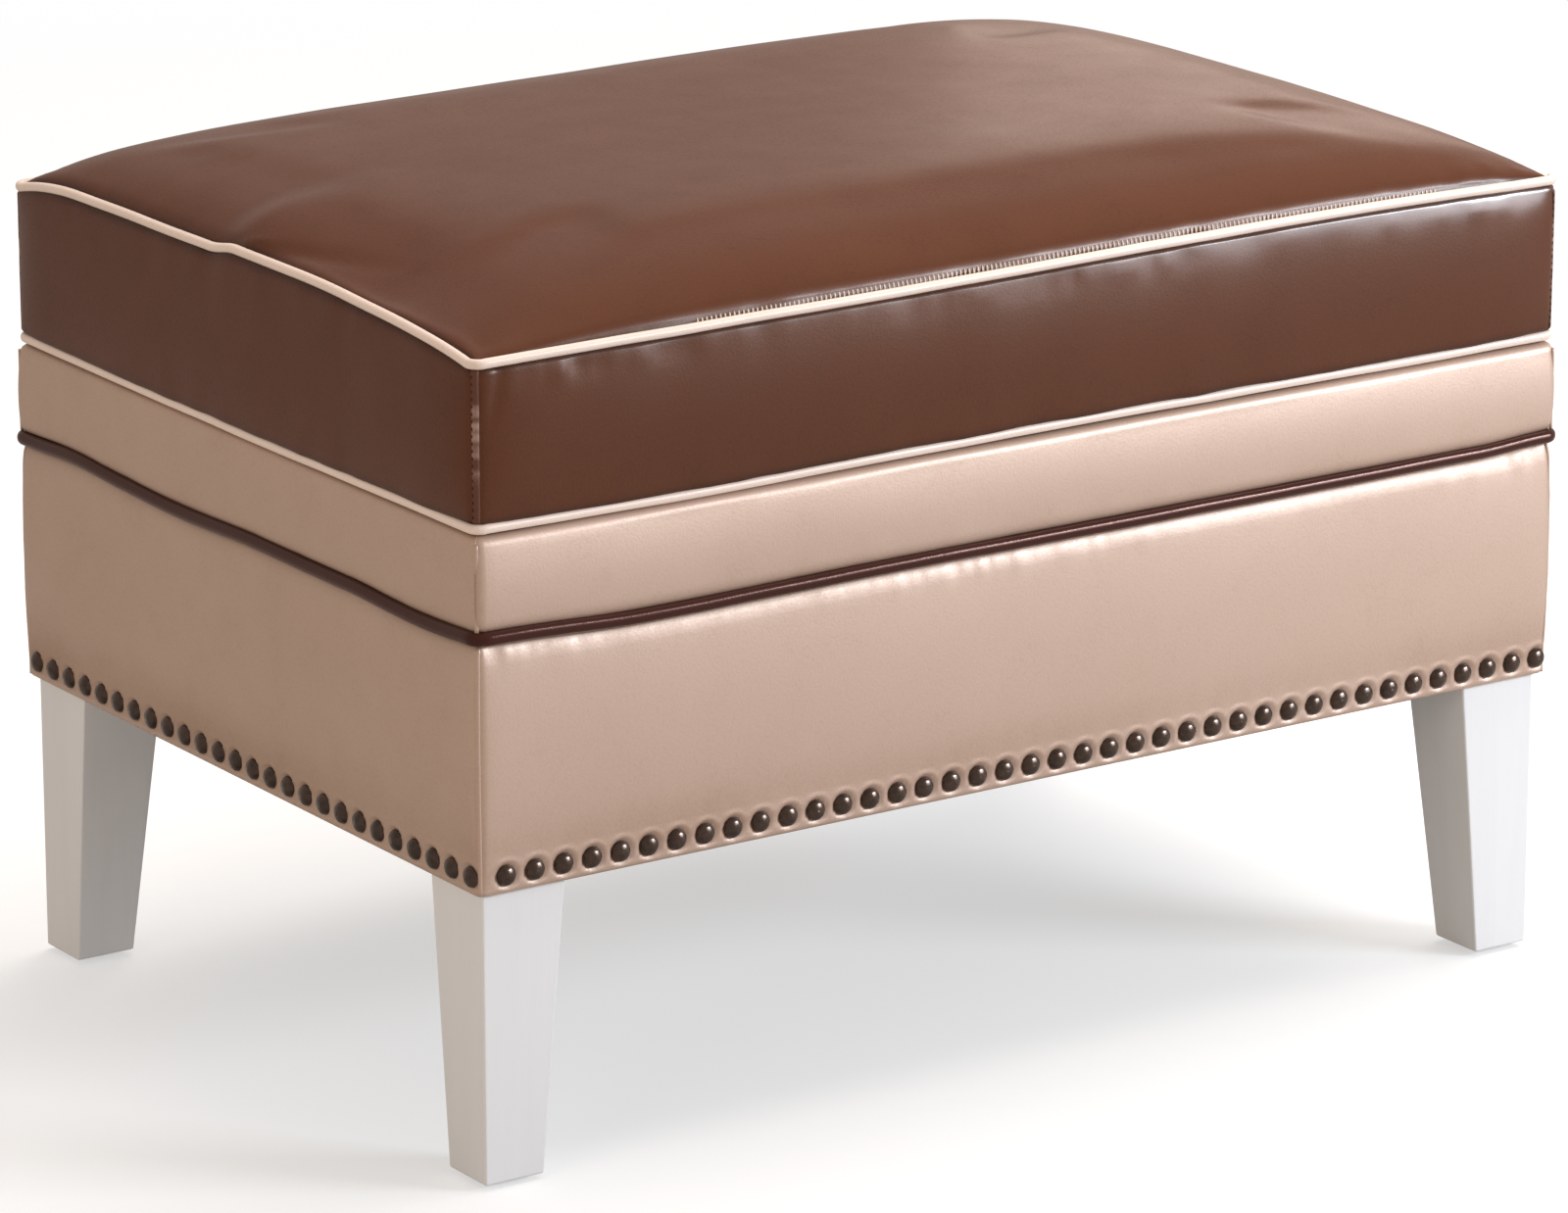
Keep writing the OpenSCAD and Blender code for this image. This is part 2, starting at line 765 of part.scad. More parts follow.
// The slider rides over the chain; its bail holds the pull
module zip_slider() {
    inner = chain_w / 2 + slide_gap;
    color("peru") at_zip() translate([slider_rest_x, 0, 0]) {
        intersection() {
            run(slider_l) {
                translate([plate_x, -slider_w / 2]) square([plate_t, slider_w]);
                for (up = [0, 1]) mirror([0, up]) {
                    translate([tape_x + slide_gap, inner])
                        square([plate_x - tape_x, slider_w / 2 - inner]);
                }
            }
            rotate([90, 0, 0]) translate([0, 0, -plate_x - plate_t - cut])
                linear_extrude(height = plate_t + chain_t + slider_w) polygon([
                    [-slider_l / 2, -slider_w / 2],
                    [0, -slider_w / 2],
                    [slider_l / 2, -slider_rear_w / 2],
                    [slider_l / 2, slider_rear_w / 2],
                    [0, slider_w / 2],
                    [-slider_l / 2, slider_w / 2]
                ]);
        }
        translate([0, plate_x + plate_t, -bail_w / 2]) linear_extrude(height = bail_w) polygon([
            [-bail_l / 2, 0],
            [bail_wall - bail_l / 2, bail_h],
            [bail_l / 2 - bail_wall, bail_h],
            [bail_l / 2, 0],
            [bail_l / 2 - bail_wall, 0],
            [bail_l / 2 - 2 * bail_wall, bail_h - bail_wall],
            [2 * bail_wall - bail_l / 2, bail_h - bail_wall],
            [bail_wall - bail_l / 2, 0]
        ]);
    }
}

// The pull turns on its bar under the bail; its tab lies along the zip
module zip_pull() {
    arm_z = bail_w / 2 + pull_clear;
    span = 2 * (arm_z + pull_arm_w);
    color("peru") at_zip() translate([slider_rest_x, pull_axis_x, 0]) {
        cylinder(r = pull_bar_r, h = span, center = true);
        for (up = [0, 1]) mirror([0, 0, up]) {
            translate([0, -pull_bar_r, arm_z]) cube([pull_arm_l, 2 * pull_bar_r, pull_arm_w]);
        }
        rotate([90, 0, 0]) translate([0, 0, -pull_bar_r]) linear_extrude(height = 2 * pull_bar_r) {
            translate([pull_arm_l, -pull_tab_w / 2]) square([pull_l - pull_tab_w / 2, pull_tab_w]);
            translate([pull_arm_l + pull_l - pull_tab_w / 2, 0]) circle(pull_tab_w / 2);
        }
    }
}

leg(-1, -1);  // leg_front_left
leg(1, -1);  // leg_front_right
leg(-1, 1);  // leg_back_left
leg(1, 1);  // leg_back_right
glides();
hanger_bolts();
t_nuts();
corner_gussets();
corner_blocks();
long_rail("front");  // front_rail
long_rail("back");  // back_rail
end_rail("left");  // left_rail
end_rail("right");  // right_rail
centre_stretcher();
seat_springs();
spring_clips();
spring_felt();
deck_foam();
deck_cloth();
skirt_padding();
skirt_panel("front");  // skirt_front
skirt_panel("back");  // skirt_back
skirt_panel("left");  // skirt_left
skirt_panel("right");  // skirt_right
band_panel("front");  // band_front
band_panel("back");  // band_back
band_panel("left");  // band_left
band_panel("right");  // band_right
dark_piping();
nail_row("front", long_nails, long_first, long_last);  // nails_front
nail_row("back", long_nails, long_first, long_last);  // nails_back
nail_row("left", short_nails, short_first, short_last);  // nails_left
nail_row("right", short_nails, short_first, short_last);  // nails_right
dust_cover();
foam_core();
crown_fill();
side_fill();
cushion_top();
cushion_bottom();
boxing_panel("front");  // boxing_front
boxing_back();
boxing_panel("left");  // boxing_left
boxing_panel("right");  // boxing_right
pale_piping(top_welt_z);  // top_piping
pale_piping(low_welt_z);  // bottom_piping
zip_tape();
zip_chain();
zip_slider();
zip_pull();
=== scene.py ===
"""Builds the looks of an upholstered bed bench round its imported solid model.

The cushion's cover, the skirt, the band and the deck are soft leather and cloth, made in mesh code.
The pipings, nails, legs and zip teeth are swept, turned and bevelled. All sizes are in metres.
"""

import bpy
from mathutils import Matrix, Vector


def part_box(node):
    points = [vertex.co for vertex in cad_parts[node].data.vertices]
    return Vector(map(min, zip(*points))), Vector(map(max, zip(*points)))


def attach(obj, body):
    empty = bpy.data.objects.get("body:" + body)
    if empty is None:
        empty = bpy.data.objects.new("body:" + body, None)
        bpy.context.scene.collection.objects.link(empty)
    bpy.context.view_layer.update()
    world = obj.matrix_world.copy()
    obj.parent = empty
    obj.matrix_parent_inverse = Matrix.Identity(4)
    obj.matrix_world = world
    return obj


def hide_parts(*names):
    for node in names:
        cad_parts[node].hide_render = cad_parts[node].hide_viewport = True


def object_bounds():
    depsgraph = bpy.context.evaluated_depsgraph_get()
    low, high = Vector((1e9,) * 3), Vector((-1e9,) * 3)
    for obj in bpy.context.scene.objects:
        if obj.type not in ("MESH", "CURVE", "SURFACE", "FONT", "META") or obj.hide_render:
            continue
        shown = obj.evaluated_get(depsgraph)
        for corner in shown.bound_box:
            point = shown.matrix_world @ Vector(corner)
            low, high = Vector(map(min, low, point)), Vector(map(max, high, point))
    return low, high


bl_info = {
    "name": "Upholstered bed bench",
    "version": (1, 0, 0),
    "blender": (4, 5, 0),
    "location": "View3D > Sidebar > Bench",
    "description": "Leather, pipings, nails, legs and studio of an upholstered bed bench",
    "category": "Object",
}

import math

import bmesh
import bpy
import numpy as np
from bpy.props import FloatProperty, FloatVectorProperty, IntProperty, PointerProperty
from mathutils import Vector
from mathutils.kdtree import KDTree

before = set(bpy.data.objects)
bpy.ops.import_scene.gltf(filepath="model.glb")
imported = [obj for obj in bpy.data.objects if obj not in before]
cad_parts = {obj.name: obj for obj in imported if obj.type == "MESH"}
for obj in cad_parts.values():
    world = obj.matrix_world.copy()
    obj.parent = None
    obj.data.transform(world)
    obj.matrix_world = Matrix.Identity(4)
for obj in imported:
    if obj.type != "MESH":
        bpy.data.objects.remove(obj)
CAD_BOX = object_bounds()

MM = 0.001
TOUCH = 1e-7
SIDES = ("front", "back", "left", "right")
SIDE_ORDER = ("front", "right", "back", "left")
LEATHER_THICK = 0.0014
CLOTH_THICK = 0.0005
CORNER_PROUD = 0.0012
SKIRT_ROLL = 0.0042
DUST_NOTCH = 0.048
NAIL_COUNT = {"front": 40, "back": 40, "left": 26, "right": 26}
NAIL_HEIGHT = 0.0040
NAIL_SIDES = 28
TOOTH_PITCH = 0.0021
TAPE_HALF = 0.309
SLOT_HALF_X, SLOT_HALF_Z = 0.31085, 0.00615


def box_size(node):
    """Lowest corner, highest corner of a CAD node, as arrays."""
    low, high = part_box(node)
    return np.array(low), np.array(high)


def middle_level(node):
    low, high = box_size(node)
    return float(low[2] + high[2]) / 2


# Sizes and colours


def length(name, description, default, **more):
    return FloatProperty(name=name, description=description, default=default, unit="LENGTH",
                         subtype="DISTANCE", min=0.0, precision=4, **more)


def colour(name, description, default):
    return FloatVectorProperty(name=name, description=description, default=default,
                               subtype="COLOR", size=3, min=0.0, max=1.0)


class BenchSizes(bpy.types.PropertyGroup):
    """Sizes that the soft pieces take from the solid model."""

    body_w: length("Body width", "Width over the skirt", 0.766)
    body_d: length("Body depth", "Depth over the skirt", 0.518)
    corner_r: length("Corner radius", "Radius of the skirt's upright corners", 0.0055)
    skirt_foot: length("Skirt foot", "Level of the skirt's lower edge", 0.1765)
    deck_z: length("Deck level", "Level of the deck's leather fold", float(box_size("deck_cloth")[1][2]))
    dark_z: length("Dark piping level", "Level of the dark piping's middle", middle_level("dark_piping"))
    low_z: length("Lower piping level", "Level of the cushion's lower piping",
                  middle_level("bottom_piping"))
    top_z: length("Top piping level", "Level of the cushion's top piping", middle_level("top_piping"))
    crown_z: length("Crown level", "Level of the cushion's highest point", float(CAD_BOX[1][2]))
    welt_r: length("Piping radius", "Radius of the pale pipings", 0.0029)
    dark_r: length("Dark piping radius", "Radius of the dark piping", 0.0042)
    path_w: length("Piping path width", "Width of the pale pipings' path", 0.7638)
    path_d: length("Piping path depth", "Depth of the pale pipings' path", 0.5158)
    path_r: length("Piping path radius", "Corner radius of the pale pipings' path", 0.0065)
    nail_d: length("Nail diameter", "Diameter of a nail head", 0.0127)
    nail_z: length("Nail level", "Level of the nail rows", 0.1875)
    leg_h: length("Leg height", "Height of a leg without its glide", 0.175)
    leg_top: length("Leg top", "Width of a leg at its top", 0.055)
    leg_foot: length("Leg foot", "Width of a leg at its foot", 0.039)
    leg_inset: length("Leg inset", "Distance from the skirt in to the leg", 0.005)
    glide_t: length("Glide thickness", "Thickness of a floor glide", 0.003)


class BenchForm(bpy.types.PropertyGroup):
    """How full, taut and lively the soft pieces are."""

    bulge: length("Boxing bulge", "How far the cushion's sides swell out", 0.0058)
    back_bulge: length("Back bulge", "How far the side with the zip swells out", 0.0033)
    seam_inset: length("Seam inset", "How far the cover's seams lie behind the pipings", 0.0028)
    pucker: length("Pucker depth", "Depth of the small gathers along the seams", 0.0005)
    skirt_fill: length("Skirt fill", "How far the padded skirt swells out", 0.0032)
    band_fill: length("Band fill", "How far the padded band swells out", 0.0022)
    gather: length("Gather depth", "Depth of the fine gathers under the dark piping", 0.0004)
    left_lift: length("Left bow", "How far the top seam rises along the left end", 0.0075)
    front_lift: length("Front bow", "How far the top seam rises along the front", 0.0040)
    draw_in: length("Draw-in", "How far the top seam is drawn in between the corners", 0.0030)
    seed: IntProperty(name="Seed", description="Seed of the small irregularities", default=7)


class BenchColours(bpy.types.PropertyGroup):
    """Colours of the finishes, as linear values."""

    # Each leather's darker colour is the dark end of its random mottling and grain, and also its painted
    # shade by seams, corners, nails and fine creases.
    cushion: colour("Cushion leather", "Brown leather of the loose cushion",
                    (0.109, 0.0350, 0.0155))
    cushion_mottle_and_shade: colour("Cushion leather, mottle and painted shade", "The same leather, darker, for its mottling and painted shade",
                         (0.020, 0.007, 0.005))
    base: colour("Base leather", "Champagne leather of the skirt and band", (0.57, 0.405, 0.315))
    base_mottle_and_shade: colour("Base leather, mottle and painted shade", "The same leather, darker, for its mottling and painted shade", (0.34, 0.20, 0.13))
    pale: colour("Pale piping", "Leather of the cushion's pipings", (0.92, 0.755, 0.66))
    pale_mottle_and_shade: colour("Pale piping, mottle and painted shade", "The same leather, darker, for its mottling and painted shade", (0.50, 0.33, 0.26))
    dark: colour("Dark piping", "Leather of the piping between skirt and band",
                 (0.045, 0.011, 0.008))
    dark_mottle_and_shade: colour("Dark piping, mottle and painted shade", "The same leather, darker, for its mottling and painted shade", (0.020, 0.005, 0.004))
    nail: colour("Nails", "Antique bronze of the nail heads", (0.088, 0.049, 0.031))
    paint: colour("Leg paint", "Silver white paint of the legs", (0.82, 0.815, 0.82))
    floor: colour("Floor", "Floor of the studio", (0.97, 0.97, 0.97))


# Smooth random values


LINE_CELLS, PLANE_CELLS = 4096, 128


def ripple(t, pitch, seed):
    """Smooth random value in [-1, 1] along a line, with about one swing in each pitch."""
    n = LINE_CELLS
    values = np.random.default_rng(seed).uniform(-1, 1, n)
    q = np.asarray(t) / pitch + n // 2
    i = np.floor(q).astype(int)
    f = q - i
    f = f * f * (3 - 2 * f)
    return values[i % n] * (1 - f) + values[(i + 1) % n] * f


def dapple(x, y, pitch, seed):
    """Smooth random value in [-1, 1] over a plane."""
    n = PLANE_CELLS
    values = np.random.default_rng(seed).uniform(-1, 1, (n, n))
    qx, qy = np.asarray(x) / pitch + n // 2, np.asarray(y) / pitch + n // 2
    i, j = np.floor(qx).astype(int), np.floor(qy).astype(int)
    fx, fy = qx - i, qy - j
    fx, fy = fx * fx * (3 - 2 * fx), fy * fy * (3 - 2 * fy)
    a, b = values[i % n, j % n], values[(i + 1) % n, j % n]
    c, d = values[i % n, (j + 1) % n], values[(i + 1) % n, (j + 1) % n]
    return (a * (1 - fx) + b * fx) * (1 - fy) + (c * (1 - fx) + d * fx) * fy


def hump(t, centre, half):
    """Smooth rise from 0 to 1 and back, half wide on each side of its centre."""
    q = np.clip(np.abs(np.asarray(t) - centre) / half, 0, 1)
    return (1 - q * q) ** 2


def ease(t):
    """Rise from 0 to 1 that starts and stops softly."""
    q = np.clip(t, 0, 1)
    return q * q * (3 - 2 * q)


def ramp(t):
    """Rise that starts at once and flattens out."""
    q = np.clip(t, 0, 1)
    return q * (2 - q)


def bell(t, width):
    """Smooth rise to 1 at 0 and back, falling to about a third at its width."""
    return np.exp(-(t / width) ** 2)


def swell(q):
    """Height of a stuffed panel from its middle (0) to its seam (1)."""
    return np.sqrt(np.clip(1 - np.abs(q) ** 5, 0, 1))


def tucked(t, depth):
    """How far a panel's edge is rolled in: nothing at 0, nearly its depth at 1."""
    return depth * (1 - np.sqrt(1 - np.clip(t, 0, 0.985) ** 2.4))


def skirt_swell(sizes, form, level):
    """How far the padded skirt stands out at a level."""
    u = np.clip((level - sizes.nail_z) / (sizes.dark_z - sizes.dark_r - sizes.nail_z), 0, 1)
    return form.skirt_fill * (1 - np.abs(2 * u - 1) ** 2.3)


# Meshes


MATERIALS = {}


def grid_faces(rows, columns, closed=False):
    """Quads of a grid of points stored row by row; closed joins the last column to the first."""
    wide = columns if closed else columns - 1
    r, c = np.meshgrid(np.arange(rows - 1), np.arange(wide), indexing="ij")
    a = (r * columns + c).ravel()
    b = (r * columns + (c + 1) % columns).ravel()
    return np.stack([a, b, b + columns, a + columns], axis=1)


def make_piece(name, points, faces, material, smooth=True):
    """An object of the scene from points and faces."""
    mesh = bpy.data.meshes.new(name)
    mesh.from_pydata([tuple(p) for p in np.asarray(points, float)], [],
                     [tuple(map(int, f)) for f in faces])
    mesh.validate()
    mesh.polygons.foreach_set("use_smooth", [smooth] * len(mesh.polygons))
    mesh.materials.append(material)
    piece = bpy.data.objects.new(name, mesh)
    bpy.context.scene.collection.objects.link(piece)
    return piece


def read_points(mesh, what="co"):
    """The places of a mesh's points, or another vector that each has, such as its normal."""
    out = np.empty(len(mesh.vertices) * 3)
    mesh.vertices.foreach_get(what, out)
    return out.reshape(-1, 3)


def write_points(mesh, points):
    mesh.vertices.foreach_set("co", np.ascontiguousarray(points, float).ravel())
    mesh.update()


def paint_points(piece, name, values):
    """Stores one value for each point, for the material to read."""
    layer = piece.data.attributes.new(name, "FLOAT", "POINT")
    values = np.broadcast_to(values, len(piece.data.vertices))
    layer.data.foreach_set("value", np.ascontiguousarray(values, np.float32))


def thicken(piece, thickness):
    """Gives an open sheet its thickness, behind its face."""
    wall = piece.modifiers.new("wall", "SOLIDIFY")
    wall.thickness = thickness
    wall.offset = -1
    wall.use_even_offset = False


def soften_edges(piece, width):
    bevel = piece.modifiers.new("edges", "BEVEL")
    bevel.width = width
    bevel.segments = 3
    bevel.limit_method = "ANGLE"
    bevel.angle_limit = math.radians(30)


def seat(piece, body, slot, *nodes):
    """Ties a piece to its body and hides the solids that it stands for. The slot, its finish, is not used.
    """
    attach(piece, body)
    if nodes:
        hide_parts(*nodes)


def face_outwards(faces, points, outward):
    """Flips all the faces where most of them look against the outward direction."""
    a, b, c = (points[faces[:, k]] for k in (0, 1, 2))
    normal = np.cross(b - a, c - a)
    outward = np.broadcast_to(outward, points.shape)
    towards = np.einsum("ij,ij->i", normal, outward[faces[:, 0]])
    return faces[:, ::-1] if towards.sum() < 0 else faces


def close_up(piece, weld=False):
    """Turns the faces of a closed piece outwards; weld first joins the points that meet."""
    work = bmesh.new()
    work.from_mesh(piece.data)
    if weld:
        bmesh.ops.remove_doubles(work, verts=work.verts, dist=0.00002)
    bmesh.ops.recalc_face_normals(work, faces=work.faces)
    work.to_mesh(piece.data)
    work.free()
    return piece


class Blocks:
    """Gathers the points and faces of many small forms into one closed piece."""

    def __init__(self):
        self.points, self.faces, self.count = [], [], 0

    def add(self, points, faces):
        self.points.append(np.asarray(points, float))
        self.faces += [[int(i) + self.count for i in face] for face in faces]
        self.count += len(points)

    def make(self, name, material, smooth=True, weld=False):
        piece = make_piece(name, np.concatenate(self.points), self.faces, MATERIALS[material], smooth)
        return close_up(piece, weld)


def capsule(half_length, radius, sides=6, rings=5):
    """Points and faces of a small elongated stitch along Z."""
    points = []
    for k in range(rings):
        phi = math.pi * (k + 0.5) / rings - math.pi / 2
        for s in range(sides):
            a = 2 * math.pi * s / sides
            points.append((radius * math.cos(phi) * math.cos(a), radius * math.cos(phi) * math.sin(a),
                           half_length * math.sin(phi)))
    faces = [list(f) for f in grid_faces(rings, sides, closed=True)]
    faces += [list(range(sides))[::-1], list(range((rings - 1) * sides, rings * sides))]
    return np.array(points), faces


# Paths round the body


def side_frame(side, w, d):
    """Length of a side, and functions from its own x and outward y to plan places and directions."""
    turn = {"back": 0, "front": 180, "left": 90, "right": -90}[side]
    long_side = side in ("front", "back")
    reach = (d if long_side else w) / 2
    c, s = round(math.cos(math.radians(turn))), round(math.sin(math.radians(turn)))

    def place(x, y):
        y = np.asarray(y) + reach
        return c * x - s * y, s * x + c * y

    def direction(x, y):
        return c * x - s * y, s * x + c * y

    return (w if long_side else d), place, direction


def side_columns(length_, r, step, arc=5):
    """Columns along one side: their shares of it, and the turn into the corner at each end."""
    count = max(int((length_ - 2 * r) / step), 2)
    flat = np.linspace(-1, 1, count + 1)
    turn = np.linspace(0, math.pi / 4, arc + 1)[1:]
    share = np.concatenate([-np.ones(arc), flat, np.ones(arc)])
    angle = np.concatenate([-turn[::-1], np.zeros(count + 1), turn])
    return share, angle


def side_row(length_, r, out, share, angle):
    """One row of a side panel, in the side's frame, at a distance out from its face."""
    reach = r + out
    if np.min(reach) > 0.0004:
        return share * (length_ / 2 - r) + reach * np.sin(angle), reach * np.cos(angle) - r
    # Behind the middle of the corner's curve the row turns at a mitre
    run = (share * (length_ / 2 - r) + r * np.sin(angle)) / (length_ / 2 - r * (1 - math.sqrt(0.5)))
    return run * (length_ / 2 + out), np.broadcast_to(out, run.shape) * 1.0


class SideRows:
    """Gathers the rows of a panel on one side of the body, and the painted shade mask of their points."""

    def __init__(self, side, w, d, r, step):
        self.long, self.place, self.direction = side_frame(side, w, d)
        self.r = r
        self.share, self.angle = side_columns(self.long, r, step)
        self.x0 = side_row(self.long, r, 0, self.share, self.angle)[0]
        self.points, self.seam = [], []

    def add(self, out, level, seam=0.0):
        """A row at a distance out; level is a height or a function of the row's own x, seam its painted
        shade.
        """
        x, y = side_row(self.long, self.r, out, self.share, self.angle)
        px, py = self.place(x, y)
        z = level(x) if callable(level) else level
        self.points.append(np.stack([px, py, np.broadcast_to(z, px.shape)], axis=1))
        self.seam.append(np.clip(np.broadcast_to(seam, px.shape), 0, 1))

    def surface(self, lean=0.0):
        """Points, outward faces and painted shade mask; lean tips the outward direction up."""
        points = np.concatenate(self.points)
        nx, ny = self.direction(0.0, 1.0)
        faces = face_outwards(grid_faces(len(self.points), len(self.share)), points, (nx, ny, lean))
        return points, faces, np.concatenate(self.seam)


def body_corners(w, d, r):
    """For each corner of the body: its signs, the middle of its curve, and directions out and across."""
    for sx in (-1, 1):
        for sy in (-1, 1):
            outward = np.array([sx, sy]) / math.sqrt(2)
            across = np.array([-outward[1], outward[0]])
            yield sx, sy, np.array([sx * (w / 2 - r), sy * (d / 2 - r)]), outward, across


def ring_path(w, d, r, step, arc=8):
    """A closed path round a rectangle with round corners, anticlockwise from the front's left end.

    For each point: its place, its outward direction, the number of its side in SIDE_ORDER, its share
    of that side and its distance along the path.
    """
    flat = np.concatenate
    xs, ys, nx, ny, side, share = [], [], [], [], [], []
    for k in range(len(SIDE_ORDER)):
        long_side = k % 2 == 0
        straight, reach = (w if long_side else d) - 2 * r, (d if long_side else w) / 2
        count = max(int(straight / step), 2)
        t = np.arange(count) / count
        a = np.radians(-90 + 90 * np.arange(arc) / arc)
        x = flat([-straight / 2 + t * straight, straight / 2 + r * np.cos(a)])
        y = flat([np.full(count, -reach), -(reach - r) + r * np.sin(a)])
        ux, uy = flat([np.zeros(count), np.cos(a)]), flat([-np.ones(count), np.sin(a)])
        turn = math.radians(90 * k)
        c, s = math.cos(turn), math.sin(turn)
        xs.append(c * x - s * y)
        ys.append(s * x + c * y)
        nx.append(c * ux - s * uy)
        ny.append(s * ux + c * uy)
        side.append(np.full(count + arc, k))
        share.append(flat([t, np.ones(arc)]))
    x, y = flat(xs), flat(ys)
    gaps = np.hypot(np.diff(x, append=x[0]), np.diff(y, append=y[0]))
    along = np.concatenate([[0], np.cumsum(gaps)[:-1]])
    return x, y, flat(nx), flat(ny), flat(side), flat(share), along


def sweep(name, centres, out, up, section, material):
    """Carries a closed section along a closed path."""
    count, sides = len(centres), len(section)
    points = (centres[:, None, :] + section[None, :, 0, None] * out[:, None, :]
              + section[None, :, 1, None] * up[:, None, :])
    faces = grid_faces(count + 1, sides, closed=True) % (count * sides)
    return make_piece(name, points.reshape(-1, 3), faces[:, ::-1], material)


# How the cushion's top seam bows


def seam_lift(form, side, t):
    """Rise of the top seam along a side; t runs anticlockwise, seen from above."""
    if side == "front":
        return form.front_lift * hump(t, 0.80, 0.42) + 0.0008 * hump(t, 0.42, 0.3)
    if side == "left":
        near = 1 - t
        plateau = ramp(near / 0.20) * ramp((1 - near) / 0.13)
        ridge = ease((0.565 - near) / 0.06) * ease((near - 0.08) / 0.30)
        return form.left_lift * plateau + 0.55 * form.left_lift * ridge
    if side == "right":
        return 0.6 * form.left_lift * hump(t, 0.45, 0.5) + 0.1 * form.left_lift * hump(t, 0.7, 0.2)
    return 0.9 * form.front_lift * hump(t, 0.35, 0.4) + 0.3 * form.front_lift * hump(t, 0.75, 0.25)


def seam_draw(form, side, t):
    """How far the top seam is drawn in along a side."""
    full = {"front": 0.6, "left": 1.0, "back": 0.8, "right": 1.0}[side]
    return form.draw_in * full * np.sin(math.pi * np.clip(t, 0, 1)) ** 0.8


def low_wave(side, t):
    """Sag of the cushion's lower seam and the band's edge along a side."""
    if side == "front":
        return -0.0012 * hump(t, 0.17, 0.2) + 0.0004 * hump(t, 0.6, 0.2)
    if side == "left":
        return -0.0012 * hump(t, 0.52, 0.55)
    return -0.0009 * hump(t, 0.4, 0.42)


def dark_wave(side, t):
    """Rise and fall of the dark piping along a side."""
    if side == "front":
        return -0.0024 * ease(t / 0.14) * ease((1 - t) / 0.07) - 0.0012 * hump(t, 0.18, 0.18)
    if side == "left":
        return -0.0020 * hump(t, 0.88, 0.13) - 0.0018 * hump(t, 0.37, 0.16) + 0.0020 * hump(t, 0.12, 0.12)
    return -0.0018 * hump(t, 0.35, 0.4) - 0.0010 * hump(t, 0.8, 0.2)


# Shader node groups


class Wiring:
    """Short hand for adding nodes and joining them."""

    def __init__(self, tree):
        self.tree = tree

    def give(self, socket, value):
        """Joins a socket to an output, or sets it to a plain value."""
        if isinstance(value, bpy.types.NodeSocket):
            self.tree.links.new(value, socket)
        else:
            socket.default_value = value

    def add(self, kind, inputs=None, **settings):
        node = self.tree.nodes.new(kind)
        for key, value in settings.items():
            setattr(node, key, value)
        for key, value in (inputs or {}).items():
            self.give(node.inputs[key], value)
        return node

    def math(self, operation, a, b=0.0, clamp=False):
        return self.add("ShaderNodeMath", {0: a, 1: b}, operation=operation, use_clamp=clamp).outputs[0]

    def times(self, a, b, clamp=False):
        return self.math("MULTIPLY", a, b, clamp)

    def total(self, first, *others, clamp=False):
        """The sum of all; clamp keeps the last result between 0 and 1."""
        for number, other in enumerate(others, 1):
            first = self.math("ADD", first, other, clamp and number == len(others))
        return first

    def mix(self, share, a, b):
        return self.add("ShaderNodeMix", {0: share, 6: a, 7: b}, data_type="RGBA").outputs[2]

    def spread(self, value, low, high, to_low, to_high):
        return self.add("ShaderNodeMapRange", {"Value": value, "From Min": low, "From Max": high,
                                               "To Min": to_low, "To Max": to_high}).outputs[0]

    def noise(self, place, scale, detail, **more):
        return self.add("ShaderNodeTexNoise", {"Vector": place, "Scale": scale, "Detail": detail,
                                               **more}).outputs["Fac"]


FLOAT, COLOR, VECTOR = "NodeSocketFloat", "NodeSocketColor", "NodeSocketVector"


def new_effect(name, inputs):
    """A node group that puts out colour, roughness and height, and the means to fill it.

    The inputs are (name, kind, default) each. Its last step is finish(colour, roughness, height).
    """
    group = bpy.data.node_groups.new(name, "ShaderNodeTree")
    for label, kind, default in inputs:
        group.interface.new_socket(label, in_out="INPUT", socket_type=kind).default_value = default
    kinds = {"Colour": COLOR, "Roughness": FLOAT, "Height": FLOAT}
    for label, kind in kinds.items():
        group.interface.new_socket(label, in_out="OUTPUT", socket_type=kind)
    w = Wiring(group)
    given, out = w.add("NodeGroupInput").outputs, w.add("NodeGroupOutput").inputs

    def finish(*values):
        for label, value in zip(kinds, values):
            w.give(out[label], value)
        return group

    return w, given, w.add("ShaderNodeTexCoord").outputs["Object"], finish


